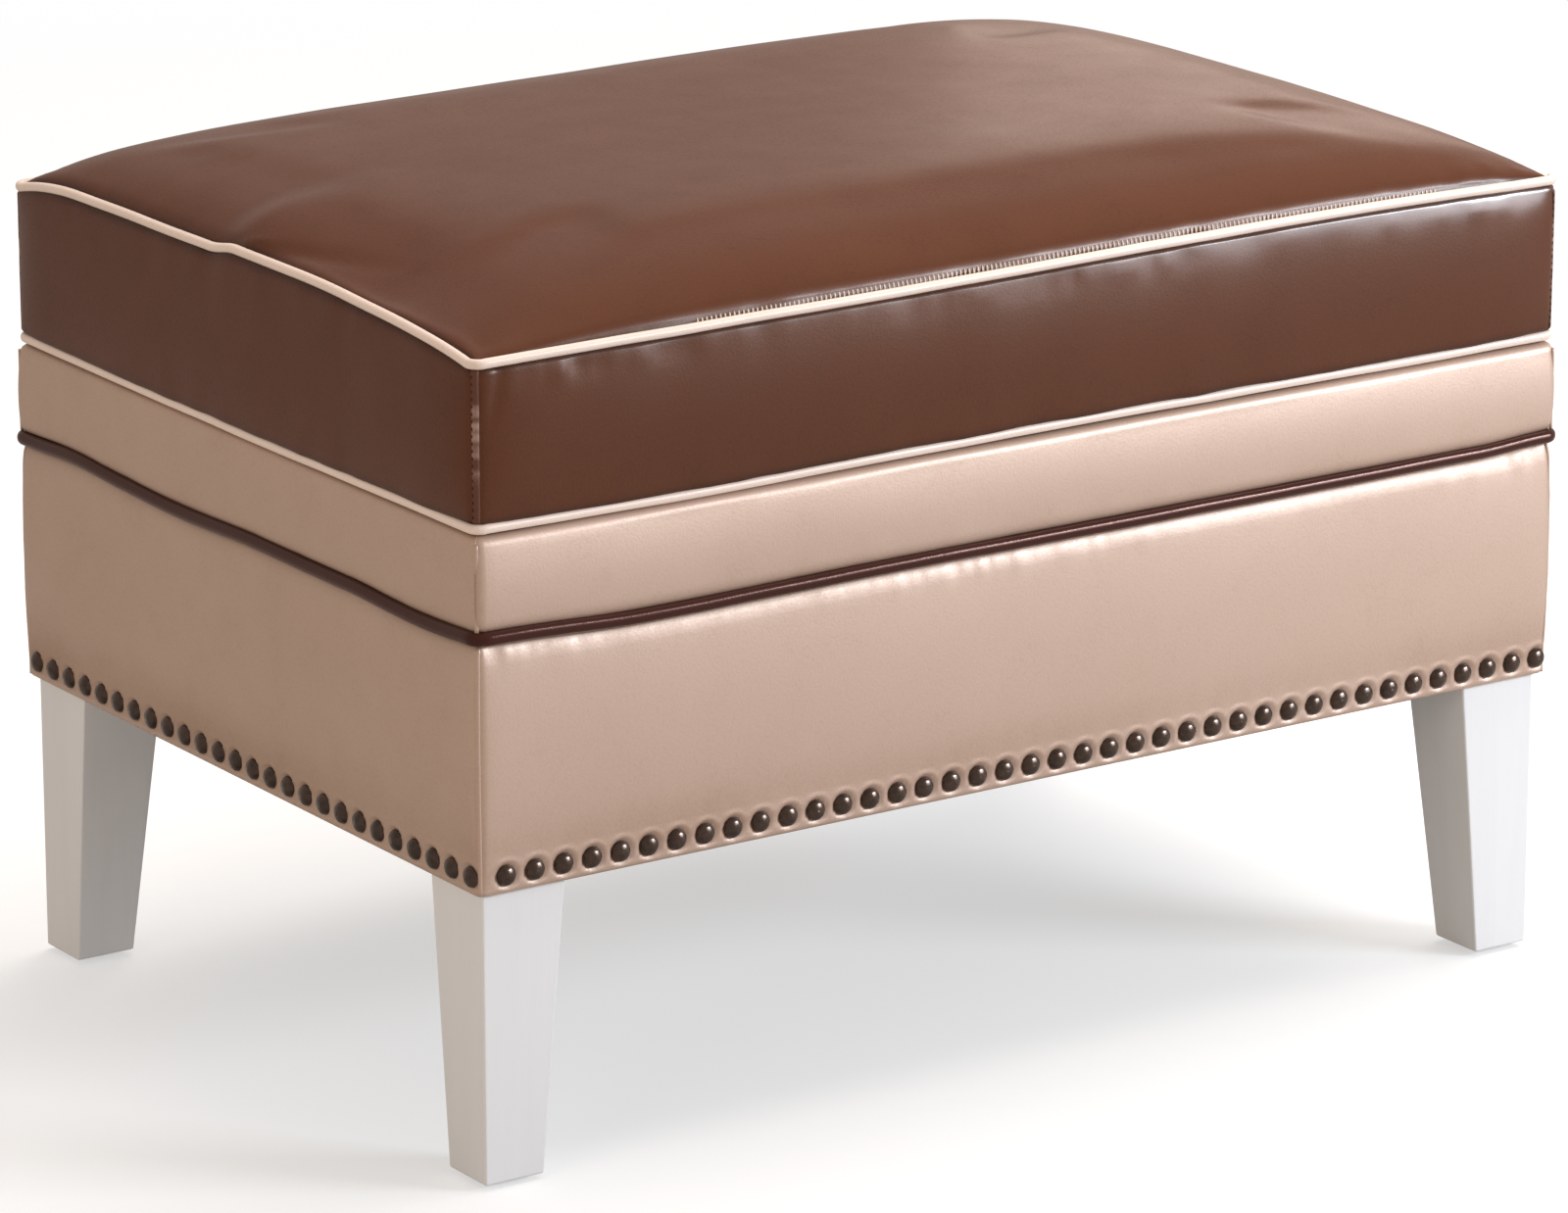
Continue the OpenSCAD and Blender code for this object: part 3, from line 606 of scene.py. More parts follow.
def leather_group():
    """Smooth leather: pebble grain, pores, soft mottling and fine creases."""
    w, given, place, finish = new_effect("Leather", [
        ("Colour", COLOR, (0.5, 0.5, 0.5, 1)), ("Mottle And Shade Colour", COLOR, (0.2, 0.2, 0.2, 1)),
        ("Grain Scale", FLOAT, 700.0), ("Mottle", FLOAT, 0.3), ("Roughness", FLOAT, 0.4),
        ("Seam", FLOAT, 0.0), ("Crease", FLOAT, 0.3),
    ])
    warp = w.add("ShaderNodeTexNoise", {"Vector": place, "Scale": 60.0, "Detail": 2.0}).outputs["Color"]
    bent = w.add("ShaderNodeVectorMath", {0: warp, "Scale": 0.004}, operation="SCALE").outputs[0]
    where = w.add("ShaderNodeVectorMath", {0: place, 1: bent}, operation="ADD").outputs[0]
    pebble = w.add("ShaderNodeTexVoronoi", {"Vector": where, "Scale": given["Grain Scale"]},
                   feature="SMOOTH_F1").outputs["Distance"]
    pores = w.noise(place, 1900.0, 3.0)
    broad = w.noise(place, 7.0, 5.0, Roughness=0.55)
    patch = w.noise(place, 34.0, 4.0)
    cracks = w.add("ShaderNodeTexVoronoi", {"Vector": where, "Scale": 95.0, "Randomness": 1.0},
                   feature="DISTANCE_TO_EDGE").outputs["Distance"]
    crease = w.times(w.spread(cracks, 0.0, 0.06, 1.0, 0.0), w.spread(patch, 0.5, 0.72, 0.0, 1.0))
    crease = w.times(crease, given["Crease"])
    tone = w.total(w.times(w.spread(broad, 0.32, 0.68, 0.0, 1.0), 0.6),
                   w.times(w.spread(patch, 0.3, 0.7, 0.0, 1.0), 0.4))
    # Painted shade: the Painted Shade input, read from a piece's seam attribute, and the fine creases
    # darken the leather towards its darker colour.
    share = w.total(w.times(tone, given["Mottle"]), w.times(given["Seam"], 0.55), w.times(crease, 0.5),
                    w.spread(pebble, 0.25, 0.75, 0.0, 0.12), clamp=True)
    rough = w.total(given["Roughness"], w.spread(broad, 0.3, 0.7, -0.012, 0.012),
                    w.spread(patch, 0.3, 0.7, -0.015, 0.02), w.spread(pebble, 0.2, 0.8, -0.02, 0.05),
                    w.times(given["Seam"], 0.10), clamp=True)
    height = w.total(w.times(pebble, -0.6), w.times(pores, 0.35), w.times(crease, -0.9))
    return finish(w.mix(share, given["Colour"], given["Mottle And Shade Colour"]), rough, height)


def weave_group():
    """Plain weave of crossing threads with a little fluff."""
    w, given, place, finish = new_effect("Weave", [
        ("Colour", COLOR, (0.1, 0.1, 0.1, 1)), ("Gap Colour", COLOR, (0.02, 0.02, 0.02, 1)),
        ("Threads", FLOAT, 900.0),
    ])
    split = w.add("ShaderNodeSeparateXYZ", {0: place}).outputs
    waves = [w.math("SINE", w.times(split[axis], given["Threads"])) for axis in range(3)]
    cross = w.times(waves[0], w.total(waves[1], waves[2]))
    fluff = w.noise(place, 380.0, 4.0)
    height = w.total(w.spread(cross, -1.0, 1.0, 0.0, 1.0), w.times(fluff, 0.4))
    share = w.spread(height, 0.2, 1.2, 0.8, 0.0)
    return finish(w.mix(share, given["Colour"], given["Gap Colour"]),
                  w.spread(fluff, 0.3, 0.7, 0.75, 0.95), height)


def wood_group():
    """Planed wood; the grain runs along the axis that Stretch makes small."""
    w, given, place, finish = new_effect("Wood", [
        ("Colour", COLOR, (0.5, 0.35, 0.2, 1)), ("Grain Colour", COLOR, (0.3, 0.18, 0.1, 1)),
        ("Stretch", VECTOR, (1.0, 1.0, 1.0)), ("Grain", FLOAT, 0.5),
    ])
    long = w.add("ShaderNodeVectorMath", {0: place, 1: given["Stretch"]}, operation="MULTIPLY").outputs[0]
    rings = w.noise(long, 60.0, 6.0, Distortion=0.6)
    grain = w.total(w.spread(rings, 0.35, 0.65, 0.0, 0.7), w.times(w.noise(long, 420.0, 3.0), 0.3))
    share = w.times(grain, given["Grain"], clamp=True)
    return finish(w.mix(share, given["Colour"], given["Grain Colour"]),
                  w.spread(grain, 0.0, 1.0, 0.5, 0.7), grain)


def patina_group():
    """Old metal: polished in places, dark and dull between."""
    w, given, place, finish = new_effect("Patina", [
        ("Colour", COLOR, (0.4, 0.3, 0.2, 1)), ("Tarnish", COLOR, (0.05, 0.04, 0.03, 1)),
        ("Amount", FLOAT, 0.5), ("Roughness", FLOAT, 0.3),
    ])
    cloud = w.noise(place, 240.0, 5.0, Roughness=0.6)
    speck = w.noise(place, 1500.0, 2.0)
    share = w.times(w.spread(cloud, 0.35, 0.65, 0.0, 1.0), given["Amount"], clamp=True)
    rough = w.total(given["Roughness"], w.times(share, 0.25), w.spread(speck, 0.3, 0.7, -0.04, 0.04),
                    clamp=True)
    return finish(w.mix(share, given["Colour"], given["Tarnish"]), rough,
                  w.total(w.times(cloud, 0.5), w.times(speck, 0.2)))


GROUPS = {}


def group_of(name):
    """The node group of an effect, built when it is first asked for."""
    if name not in GROUPS:
        GROUPS[name] = {"leather": leather_group, "weave": weave_group, "wood": wood_group,
                        "patina": patina_group}[name]()
    return GROUPS[name]


def rgba(values):
    return (values[0], values[1], values[2], 1.0)


def grouped_material(name, effect, given, shader=None, bump=0.15, bump_distance=0.0004, seam=False):
    """A Principled material whose colour, roughness and bump come from one of the node groups."""
    material = bpy.data.materials.new(name)
    material.use_nodes = True
    w = Wiring(material.node_tree)
    surface = w.tree.nodes["Principled BSDF"].inputs
    effect_node = w.add("ShaderNodeGroup", given, node_tree=group_of(effect))
    # A piece's seam attribute is its mask of painted shade.
    if seam:
        mask = w.add("ShaderNodeAttribute", attribute_name="seam").outputs["Fac"]
        w.give(effect_node.inputs["Seam"], mask)
    effect_out = effect_node.outputs
    relief = w.add("ShaderNodeBump", {"Strength": bump, "Distance": bump_distance,
                                      "Height": effect_out["Height"]}).outputs["Normal"]
    values = {"Base Color": effect_out["Colour"], "Roughness": effect_out["Roughness"], "Normal": relief}
    for key, value in {**values, **(shader or {})}.items():
        w.give(surface[key], value)
    MATERIALS[name] = material


def add_polish(material):
    """Raises the coat of a leather where use has polished it, as painted on the piece."""
    w = Wiring(material.node_tree)
    polish = w.add("ShaderNodeAttribute", attribute_name="polish").outputs["Fac"]
    weight = w.tree.nodes["Principled BSDF"].inputs["Coat Weight"]
    w.give(weight, w.spread(polish, 0.0, 1.0, weight.default_value, 1.0))


def coat(weight, roughness):
    return {"Coat Weight": weight, "Coat Roughness": roughness}


def make_materials(colours):
    """Every finish of the bench."""
    def leather(name, plain, mottle_and_shade, grain=750.0, mottle=0.35, rough=0.4, crease=0.25, seam=False,
                shader=None):
        grouped_material(name, "leather", {
            "Colour": rgba(plain), "Mottle And Shade Colour": rgba(mottle_and_shade), "Grain Scale": grain, "Mottle": mottle,
            "Roughness": rough, "Crease": crease}, shader, bump=0.2, seam=seam)

    leather("cushion leather", colours.cushion, colours.cushion_mottle_and_shade, rough=0.38, seam=True, mottle=0.14,
            shader={"Specular IOR Level": 0.24, "Specular Tint": (1.0, 0.72, 0.58, 1.0),
                    **coat(0.20, 0.20)})
    add_polish(MATERIALS["cushion leather"])
    leather("base leather", colours.base, colours.base_mottle_and_shade, rough=0.48, seam=True, mottle=0.16,
            shader={"Metallic": 0.25, "Specular IOR Level": 0.9, **coat(0.15, 0.22)})
    # The corner ribs' pale colour is a painted highlight along their ridge; where their seam mask is full
    # they take the cushion's own colour.
    leather("ridge highlight leather", (0.46, 0.30, 0.24), colours.cushion, rough=0.33, mottle=0.5, seam=True)
    leather("pale leather", colours.pale, colours.pale_mottle_and_shade, grain=1100.0, mottle=0.15, rough=0.34,
            crease=0.15, shader={"Specular IOR Level": 0.6})
    leather("dark leather", colours.dark, colours.dark_mottle_and_shade, grain=1000.0, mottle=0.3, rough=0.21,
            crease=0.15, shader={"Specular IOR Level": 0.45, "Specular Tint": (1.0, 0.62, 0.52, 1.0)})

    # The dark thread of the cushion's corner stitches stands in for the shade in their needle holes.
    for name, plain, gap, threads in (
            ("black cloth", (0.022, 0.022, 0.024), (0.006, 0.006, 0.007), 3200.0),
            ("zip cloth", (0.055, 0.026, 0.018), (0.015, 0.008, 0.006), 5200.0),
            ("felt", (0.24, 0.20, 0.155), (0.12, 0.10, 0.08), 1900.0),
            ("fibre", (0.84, 0.83, 0.80), (0.62, 0.61, 0.58), 1500.0),
            ("foam", (0.72, 0.62, 0.36), (0.5, 0.42, 0.22), 2400.0),
            ("needle hole shade thread", (0.030, 0.012, 0.008), (0.010, 0.005, 0.004), 6000.0),
            ("pale thread", (0.90, 0.74, 0.64), (0.62, 0.48, 0.40), 6000.0)):
        grouped_material(name, "weave", {
            "Colour": rgba(plain), "Gap Colour": rgba(gap), "Threads": threads,
        }, bump=0.4, bump_distance=0.0003)

    def wood(name, plain, grain_colour, stretch, grain, shader=None):
        grouped_material(name, "wood", {
            "Colour": rgba(plain), "Grain Colour": rgba(grain_colour), "Stretch": stretch,
            "Grain": grain}, shader, bump=0.25)

    wood("hardwood along X", (0.50, 0.31, 0.155), (0.29, 0.16, 0.075), (0.08, 1.0, 1.0), 0.7)
    wood("hardwood along Y", (0.50, 0.31, 0.155), (0.29, 0.16, 0.075), (1.0, 0.08, 1.0), 0.7)
    wood("plywood", (0.55, 0.37, 0.20), (0.36, 0.22, 0.11), (0.5, 0.5, 4.0), 0.6)
    wood("leg paint", colours.paint, tuple(0.86 * p for p in colours.paint), (1.0, 1.0, 0.06), 0.30,
         {"Specular IOR Level": 0.35, **coat(0.08, 0.25)})

    def metal(name, plain, tarnish, amount, rough, shader=None):
        grouped_material(name, "patina", {
            "Colour": rgba(plain), "Tarnish": rgba(tarnish), "Amount": amount, "Roughness": rough,
        }, {"Metallic": 0.92, **(shader or {})}, bump=0.12, bump_distance=0.0003)

    metal("nail bronze", colours.nail, tuple(0.2 * c for c in colours.nail), 0.7, 0.17, coat(0.8, 0.20))
    metal("zinc steel", (0.56, 0.56, 0.58), (0.3, 0.3, 0.31), 0.5, 0.32)
    metal("spring wire", (0.16, 0.165, 0.18), (0.05, 0.05, 0.055), 0.6, 0.38)
    metal("antique brass", (0.30, 0.19, 0.085), (0.06, 0.04, 0.022), 0.7, 0.28)
    grouped_material("glide plastic", "patina", {
        "Colour": (0.03, 0.03, 0.032, 1), "Tarnish": (0.015, 0.015, 0.016, 1), "Amount": 0.6,
        "Roughness": 0.5}, bump=0.1)


# Cushion cover


def graded(half, fine=(0, 0.8, 1.8, 3.0, 4.5, 6.5, 9.0, 12.0, 15.5, 19.5, 24.0), step=5.0, extra=()):
    """Places from -half to half in metres, close together near the ends.

    The other values are in millimetres: fine from each end, extra from the middle.
    """
    from_end = [f * MM for f in fine]
    stops = from_end + sorted(half - e * MM for e in extra) + [half]
    out = list(from_end)
    for start, stop in zip(stops[len(from_end) - 1:-1], stops[len(from_end):]):
        count = max(int(round((stop - start) / (step * MM))), 1)
        out += [start + (stop - start) * (k + 1) / count for k in range(count)]
    ends = np.array(sorted({round(v, 7) for v in out}))
    return np.concatenate([ends - half, (half - ends)[::-1][1:]])


def box_surface(xs, ys, zs):
    """Points and quads of a box's surface, divided at the given places."""
    nx, ny, nz = len(xs), len(ys), len(zs)
    index = -np.ones((nx, ny, nz), int)
    i, j, k = np.meshgrid(np.arange(nx), np.arange(ny), np.arange(nz), indexing="ij")
    shell = (i == 0) | (i == nx - 1) | (j == 0) | (j == ny - 1) | (k == 0) | (k == nz - 1)
    cells = np.stack([i[shell], j[shell], k[shell]], axis=1)
    index[shell] = np.arange(len(cells))

    def wall(sheet, flip):
        a, b, c, d = sheet[:-1, :-1], sheet[1:, :-1], sheet[1:, 1:], sheet[:-1, 1:]
        quads = np.stack([a.ravel(), b.ravel(), c.ravel(), d.ravel()], axis=1)
        return quads[:, ::-1] if flip else quads

    faces = np.concatenate([
        wall(index[:, :, -1], False), wall(index[:, :, 0], True),
        wall(index[:, 0, :], False), wall(index[:, -1, :], True),
        wall(index[0, :, :], True), wall(index[-1, :, :], False),
    ])
    return cells, faces


def round_plan(x, y, a, b, r):
    """Moves plan points of a rectangle so that its corners are round; also the direction outwards."""
    qx, qy = (np.abs(x) - (a - r)) / r, (np.abs(y) - (b - r)) / r
    corner = (qx > 0) & (qy > 0)
    ux = np.where(corner, qx * np.sqrt(np.clip(1 - qy * qy / 2, 0, 1)), qx)
    uy = np.where(corner, qy * np.sqrt(np.clip(1 - qx * qx / 2, 0, 1)), qy)
    px = np.where(corner, np.sign(x) * (a - r + r * ux), x)
    py = np.where(corner, np.sign(y) * (b - r + r * uy), y)
    nx = np.where(corner, ux, np.where(np.abs(x) >= a - TOUCH, 1.0, 0.0)) * np.sign(x)
    ny = np.where(corner, uy, np.where(np.abs(y) >= b - TOUCH, 1.0, 0.0)) * np.sign(y)
    size = np.maximum(np.hypot(nx, ny), 1e-9)
    return px, py, nx / size, ny / size


def cushion_shape(sizes, form, coarse=False):
    """Points and faces of the cushion's closed cover, and for each point: its distance to the nearest
    seam, whether it is on the top or the foot, its place along the seam and its height from -1 to 1.
    """
    inset = form.seam_inset
    a, b = sizes.path_w / 2 - inset, sizes.path_d / 2 - inset
    half = (sizes.top_z - sizes.low_z) / 2
    middle = (sizes.top_z + sizes.low_z) / 2
    if coarse:
        ends = (0, 2.5, 6.0, 12.0, 20.0)
        xs, ys, zs = graded(a, ends, 10.0), graded(b, ends, 10.0), graded(half, ends, 9.0)
    else:
        xs = graded(a, extra=(310.7, 311.0))
        ys = graded(b)
        zs = graded(half, fine=(0, 0.8, 1.8, 3.0, 4.5, 6.5, 9.0, 12.0, 16.0, 20.5, 25.5, 31.0, 36.0),
                    step=3.4, extra=(7.6, 6.7, 6.3, 6.0))
    cells, faces = box_surface(xs, ys, zs)
    gx, gy, gz = xs[cells[:, 0]], ys[cells[:, 1]], zs[cells[:, 2]]
    top = cells[:, 2] == len(zs) - 1
    foot = cells[:, 2] == 0
    rim = (np.abs(gx) >= a - TOUCH) | (np.abs(gy) >= b - TOUCH)
    px, py, nx, ny = round_plan(gx, gy, a, b, max(sizes.path_r - inset, 0.004))

    h = gz / half
    below = half - np.abs(gz)
    at_back = gy >= b - TOUCH
    at_end = hump(gx, a, 0.11) * (gy <= -b + TOUCH) * (gz > 0)
    full = np.where(at_back, form.back_bulge, form.bulge)
    # Right beside the piping the side comes out at once, and then swells slowly to its full
    start = full * (0.46 - 0.30 * at_end)
    slow = 1 - np.exp(-np.maximum(below - 0.0025, 0) / 0.013)
    out = (inset + start) * ease(below / 0.0034) + (full - start) * slow
    out = np.where(rim, out, 0)
    edge_x, edge_y = a - np.abs(gx), b - np.abs(gy)
    near_corner = np.exp(-np.maximum(edge_x, edge_y) / 0.014)
    upright = (inset + CORNER_PROUD) * ease((below - 0.0012) / 0.0035)
    out = np.where(rim, out * (1 - near_corner) + upright * near_corner, out)
    long_wave = dapple(gx + 3.1 * gy, gz + gy, 0.15, form.seed) * (1 - h * h)
    out = np.where(rim & ~top & ~foot, out + np.where(at_back, 0.0001, 0.0007) * long_wave, out)

    rise = (sizes.crown_z - sizes.top_z) * swell(gx / a) * swell(gy / b)
    z = np.where(top, sizes.top_z + rise, np.where(foot, sizes.low_z, middle + gz))
    floor_drop = 0.0036 * np.clip(np.minimum(edge_x, edge_y) / 0.006, 0, 1) ** 0.5
    z = np.where(foot, z - floor_drop, z)
    points = np.stack([px + nx * out, py + ny * out, z], axis=1)

    level = np.clip((h + 1) / 2, 0, 1) ** 1.5
    for side in SIDE_ORDER:
        upper, lower = level, 1 - level
        if side == "back":  # the strip with the zip stays straight along its middle
            upper, lower = ease((h - 0.2) / 0.8), ease((-h - 0.2) / 0.8)
        t, gap, inward = {
            "front": ((gx + a) / (2 * a), gy + b, (0, 1)),
            "right": ((gy + b) / (2 * b), a - gx, (-1, 0)),
            "back": ((a - gx) / (2 * a), b - gy, (0, -1)),
            "left": ((b - gy) / (2 * b), gx + a, (1, 0)),
        }[side]
        fade = np.where(top, np.exp(-((gap / 0.070) ** 1.5)), bell(gap, 0.012)) * upper
        fade = np.where(foot, 0, fade)
        points[:, 2] += seam_lift(form, side, t) * fade
        points[:, 2] += low_wave(side, t) * np.where(top, 0, bell(gap, 0.004) * lower)
        draw = seam_draw(form, side, t) * fade
        points[:, 0] += inward[0] * draw
        points[:, 1] += inward[1] * draw

    edge = np.minimum(edge_x, edge_y)
    seam_gap = np.where(top | foot, edge + np.where(top, 0.5 * rise, 0), below)
    along = np.where(edge_x < edge_y, gy + 1.7 * np.sign(gx), gx + 0.9 * np.sign(gy))
    return points, faces, seam_gap, top, foot, along, h


def pucker_cover(piece, form, seam_gap, top, foot, along, h):
    """Small gathers that run square to the seams, a fold at the left end and soft lumps."""
    mesh = piece.data
    points = read_points(mesh)
    normals = read_points(mesh, "normal")
    which = np.where(top, 1, np.where(foot, 2, 3))
    height = np.zeros(len(points))
    for pitch, share, reach, seed in (
            (0.017, 1.0, 0.013, 11), (0.031, 1.3, 0.026, 23), (0.009, 0.5, 0.007, 37)):
        wave = ripple(along + which * 3.3, pitch, form.seed + seed)
        calm = 0.35 + 0.65 * np.clip(ripple(along + which * 1.9, 0.16, form.seed + seed + 5) + 0.25, 0, 1)
        height += form.pucker * share * wave * calm * np.exp(-seam_gap / reach)
    height *= np.clip(seam_gap / 0.002, 0, 1)
    x, y = points[:, 0], points[:, 1]
    ends = hump(x, -0.30, 0.09) + 0.8 * hump(x, 0.31, 0.10) + 0.4 * hump(x, 0.05, 0.2)
    tucks = ripple(x, 0.011, form.seed + 31) + 0.5 * ripple(x, 0.007, form.seed + 32)
    front = (y < 0) & ~top & ~foot & (np.abs(x) < 0.377)
    height += np.where(front & (h > 0), 0.0008 * ends * tucks * bell(seam_gap - 0.009, 0.007), 0)
    lumps = dapple(x, y, 0.15, form.seed + 3) + 0.3 * dapple(x, y, 0.06, form.seed + 4)
    height += np.where(top, 0.0008 * lumps * np.clip(seam_gap / 0.06, 0, 1), 0)
    edge = top & (y < -0.15)
    height += np.where(edge, 0.0011 * hump(x, 0.32, 0.10) * tucks * bell(seam_gap - 0.012, 0.008), 0)
    height = np.where(foot, 0, height)
    # The fold runs from the kink in the left seam towards the front, with a broad hollow beside it
    run = x + 0.379
    line = 0.004 - 2.8 * run
    start = np.clip(run / 0.004, 0, 1)
    ridge = bell(y - line - 0.002, 0.0052) * bell(run, 0.0075)
    hollow = bell(y - line + 0.026, 0.020) * bell(run, 0.026)
    height += np.where(top, start * (0.0026 * ridge - 0.0024 * hollow), 0)
    reach = np.maximum(run, 0) / 0.022
    trough = hump(y, -0.135, 0.145) * reach * np.exp(1 - reach)
    points[:, 2] -= np.where(top, 0.0115 * trough, 0)
    # The corner seam draws the front in at the near corner
    line = -0.3660 - 0.010 * (1 - np.clip((h + 0.1) / 1.1, 0, 1))
    pinch = bell(x - line, 0.0035) * ease((h - 0.15) / 0.5)
    height -= np.where(front & (x < 0), 0.0011 * pinch, 0)
    write_points(mesh, points + normals * height[:, None])


def held_share(sizes, points, seam_gap, foot):
    """1 where the seams, the flat bottom and the zip hold the cover, 0 where it swells freely."""
    at_back = points[:, 1] > sizes.path_d / 2 + 0.001
    held = np.clip(1.4 - seam_gap / 0.009, 0, 1)
    return np.where(foot | at_back, 1, held)


def inflate(sizes, form, cap, pressure=3.0, frames=16):
    """Lets a coarse cover swell like stuffed leather: its points, and how far each moved, up to cap."""
    start, faces, seam_gap, _, foot, *_ = cushion_shape(sizes, form, coarse=True)
    pinned = np.round(held_share(sizes, start, seam_gap, foot), 1)
    trial = make_piece("stuffing_trial", start, faces, MATERIALS["cushion leather"])
    group = trial.vertex_groups.new(name="pinned")
    for weight in np.unique(pinned[pinned > 0]):
        group.add([int(i) for i in np.nonzero(pinned == weight)[0]], float(weight), "REPLACE")
    cloth = trial.modifiers.new("stuffing", "CLOTH")
    for key, value in {
            "quality": 5, "mass": 0.6, "tension_stiffness": 40, "compression_stiffness": 40,
            "shear_stiffness": 20, "bending_stiffness": 6, "use_pressure": True,
            "uniform_pressure_force": pressure, "vertex_group_mass": "pinned"}.items():
        setattr(cloth.settings, key, value)
    cloth.settings.effector_weights.gravity = 0
    cloth.collision_settings.use_collision = False
    cloth.point_cache.frame_start = 1
    cloth.point_cache.frame_end = frames
    scene = bpy.context.scene
    for number in range(1, frames + 1):
        scene.frame_set(number)
    shaped = trial.evaluated_get(bpy.context.evaluated_depsgraph_get())
    moved = read_points(shaped.to_mesh()) - start
    shaped.to_mesh_clear()
    scene.frame_set(1)
    mesh = trial.data
    bpy.data.objects.remove(trial)
    bpy.data.meshes.remove(mesh)
    far = np.linalg.norm(moved, axis=1, keepdims=True)
    return start, moved * cap * np.tanh(far / cap) / np.maximum(far, 1e-9)


def carry_over(start, moved, points, near=8):
    """The movement of the coarse points, blended onto other points."""
    tree = KDTree(len(start))
    for number, place in enumerate(start):
        tree.insert(place, number)
    tree.balance()
    out = np.empty_like(points)
    for number, place in enumerate(points):
        found = tree.find_n(place, near)
        index = [f[1] for f in found]
        gap = np.array([f[2] for f in found])
        weight = np.clip(1 - gap / (gap[-1] + 1e-6), 0, 1) ** 2 + 1e-6
        out[number] = (moved[index] * weight[:, None]).sum(axis=0) / weight.sum()
    return out


class BENCH_OT_cushion_cover(bpy.types.Operator):
    """Builds the cushion's leather cover: crowned top, swelling sides and flat bottom"""

    bl_idname = "bench.cushion_cover"
    bl_label = "Cushion cover"

    def execute(self, context):
        sizes, form = context.scene.bench_sizes, context.scene.bench_form
        points, faces, seam_gap, top, foot, along, h = cushion_shape(sizes, form)
        cover = make_piece("cushion_cover", points, faces, MATERIALS["cushion leather"])
        start, moved = inflate(sizes, form, cap=0.0017)
        free = 1 - held_share(sizes, points, seam_gap, foot)
        write_points(cover.data, points + carry_over(start, moved, points) * free[:, None])
        pucker_cover(cover, form, seam_gap, top, foot, along, h)
        self.cut_zip_groove(cover, sizes)
        # Painted shade along the seams, darkest in the steep leather beside the pipings.
        shade = np.where(top, 1.7 * seam_gap, seam_gap)
        paint_points(cover, "seam", 1.7 * bell(shade, 0.0042))
        front = (points[:, 1] < -0.25) & ~top & ~foot & (h > 0)
        edge = bell(seam_gap - 0.006, 0.008) * ease((points[:, 0] + 0.05) / 0.40)
        paint_points(cover, "polish", np.where(front, edge, 0))
        seat(cover, "cushion", "cushion_leather", "foam_core", "crown_fill", "side_fill", "cushion_top",
             "cushion_bottom", "boxing_front", "boxing_back", "boxing_left", "boxing_right")
        return {"FINISHED"}

    def cut_zip_groove(self, cover, sizes):
        """Sinks the slot of the zip into the back of the cover."""
        points = read_points(cover.data)
        middle = (sizes.top_z + sizes.low_z) / 2
        slot = ((np.abs(points[:, 0]) < SLOT_HALF_X) & (np.abs(points[:, 2] - middle) < SLOT_HALF_Z)
                & (points[:, 1] > 0.24))
        points[slot, 1] = float(box_size("zip_tape")[0][1]) - 0.0004
        write_points(cover.data, points)


# Pipings


class BENCH_OT_pipings(bpy.types.Operator):
    """Builds the two pale pipings of the cushion and the dark piping of the base"""

    bl_idname = "bench.pipings"
    bl_label = "Pipings"

    def execute(self, context):
        sizes, form = context.scene.bench_sizes, context.scene.bench_form
        plan = (sizes.path_w, sizes.path_d, sizes.path_r)
        pale = ("cushion", "pale_leather", "pale leather")
        self.piping("top_pale_piping", "top_piping", pale, plan, sizes.top_z, sizes.welt_r, form,
                    lambda side, t: seam_lift(form, side, t), lambda side, t: seam_draw(form, side, t))
        self.piping("lower_pale_piping", "bottom_piping", pale, plan, sizes.low_z, sizes.welt_r, form,
                    low_wave)
        out = float(box_size("dark_piping")[1][0]) - sizes.body_w / 2 - sizes.dark_r
        plan = (sizes.body_w + 2 * out, sizes.body_d + 2 * out, sizes.corner_r + out)
        self.piping("dark_base_piping", "dark_piping", ("base", "dark_leather", "dark leather"), plan,
                    sizes.dark_z, sizes.dark_r, form, dark_wave)
        return {"FINISHED"}

    def piping(self, name, node, finish, plan, z, radius, form, wave, draw=None):
        """A round cord in leather, with the flat tail by which it is sewn in."""
        body, slot, material = finish
        x, y, nx, ny, side, share, along = ring_path(*plan, 0.003)
        seed = form.seed + len(name)
        level = np.full(len(x), z) + 0.00025 * ripple(along, 0.045, seed)
        shift = 0.00025 * ripple(along, 0.06, seed + 1)
        for k, label in enumerate(SIDE_ORDER):
            here = side == k
            level[here] += wave(label, share[here])
            if draw:
                shift[here] -= draw(label, share[here])
        centres = np.stack([x + nx * shift, y + ny * shift, level], axis=1)
        out = np.stack([nx, ny, np.zeros(len(nx))], axis=1)
        up = np.tile([0.0, 0.0, 1.0], (len(nx), 1))
        angle = np.radians(np.arange(20) * 18)
        flat = 1 - 0.05 * np.cos(2 * angle)
        section = radius * np.stack([np.cos(angle) * flat, np.sin(angle)], axis=1)
        tail = np.array([[-1.9 * radius, 0.14 * radius], [-1.9 * radius, -0.14 * radius]])
        section = np.concatenate([section[:10], tail, section[11:]])
        seat(sweep(name, centres, out, up, section, MATERIALS[material]), body, slot, node)


# Skirt, band and deck


def nail_places(side, sizes):
    """Distances along a side's own x of its nails, read from the solid model's nail rows."""
    low, high = box_size("nails_" + side)
    axis = 0 if side in ("front", "back") else 1
    first, last = low[axis] + sizes.nail_d / 2, high[axis] - sizes.nail_d / 2
    places = np.linspace(first, last, NAIL_COUNT[side])
    return places * (-1 if side in ("front", "right") else 1)


def corner_shade(rows):
    """Painted shade at the two upright corners of a side panel, as a mask."""
    return 0.5 * np.exp(-np.abs(rows.long / 2 - np.abs(rows.x0)) / 0.0016)


def near_corners(rows):
    return np.exp(-(rows.long / 2 - np.abs(rows.x0)) / 0.006)


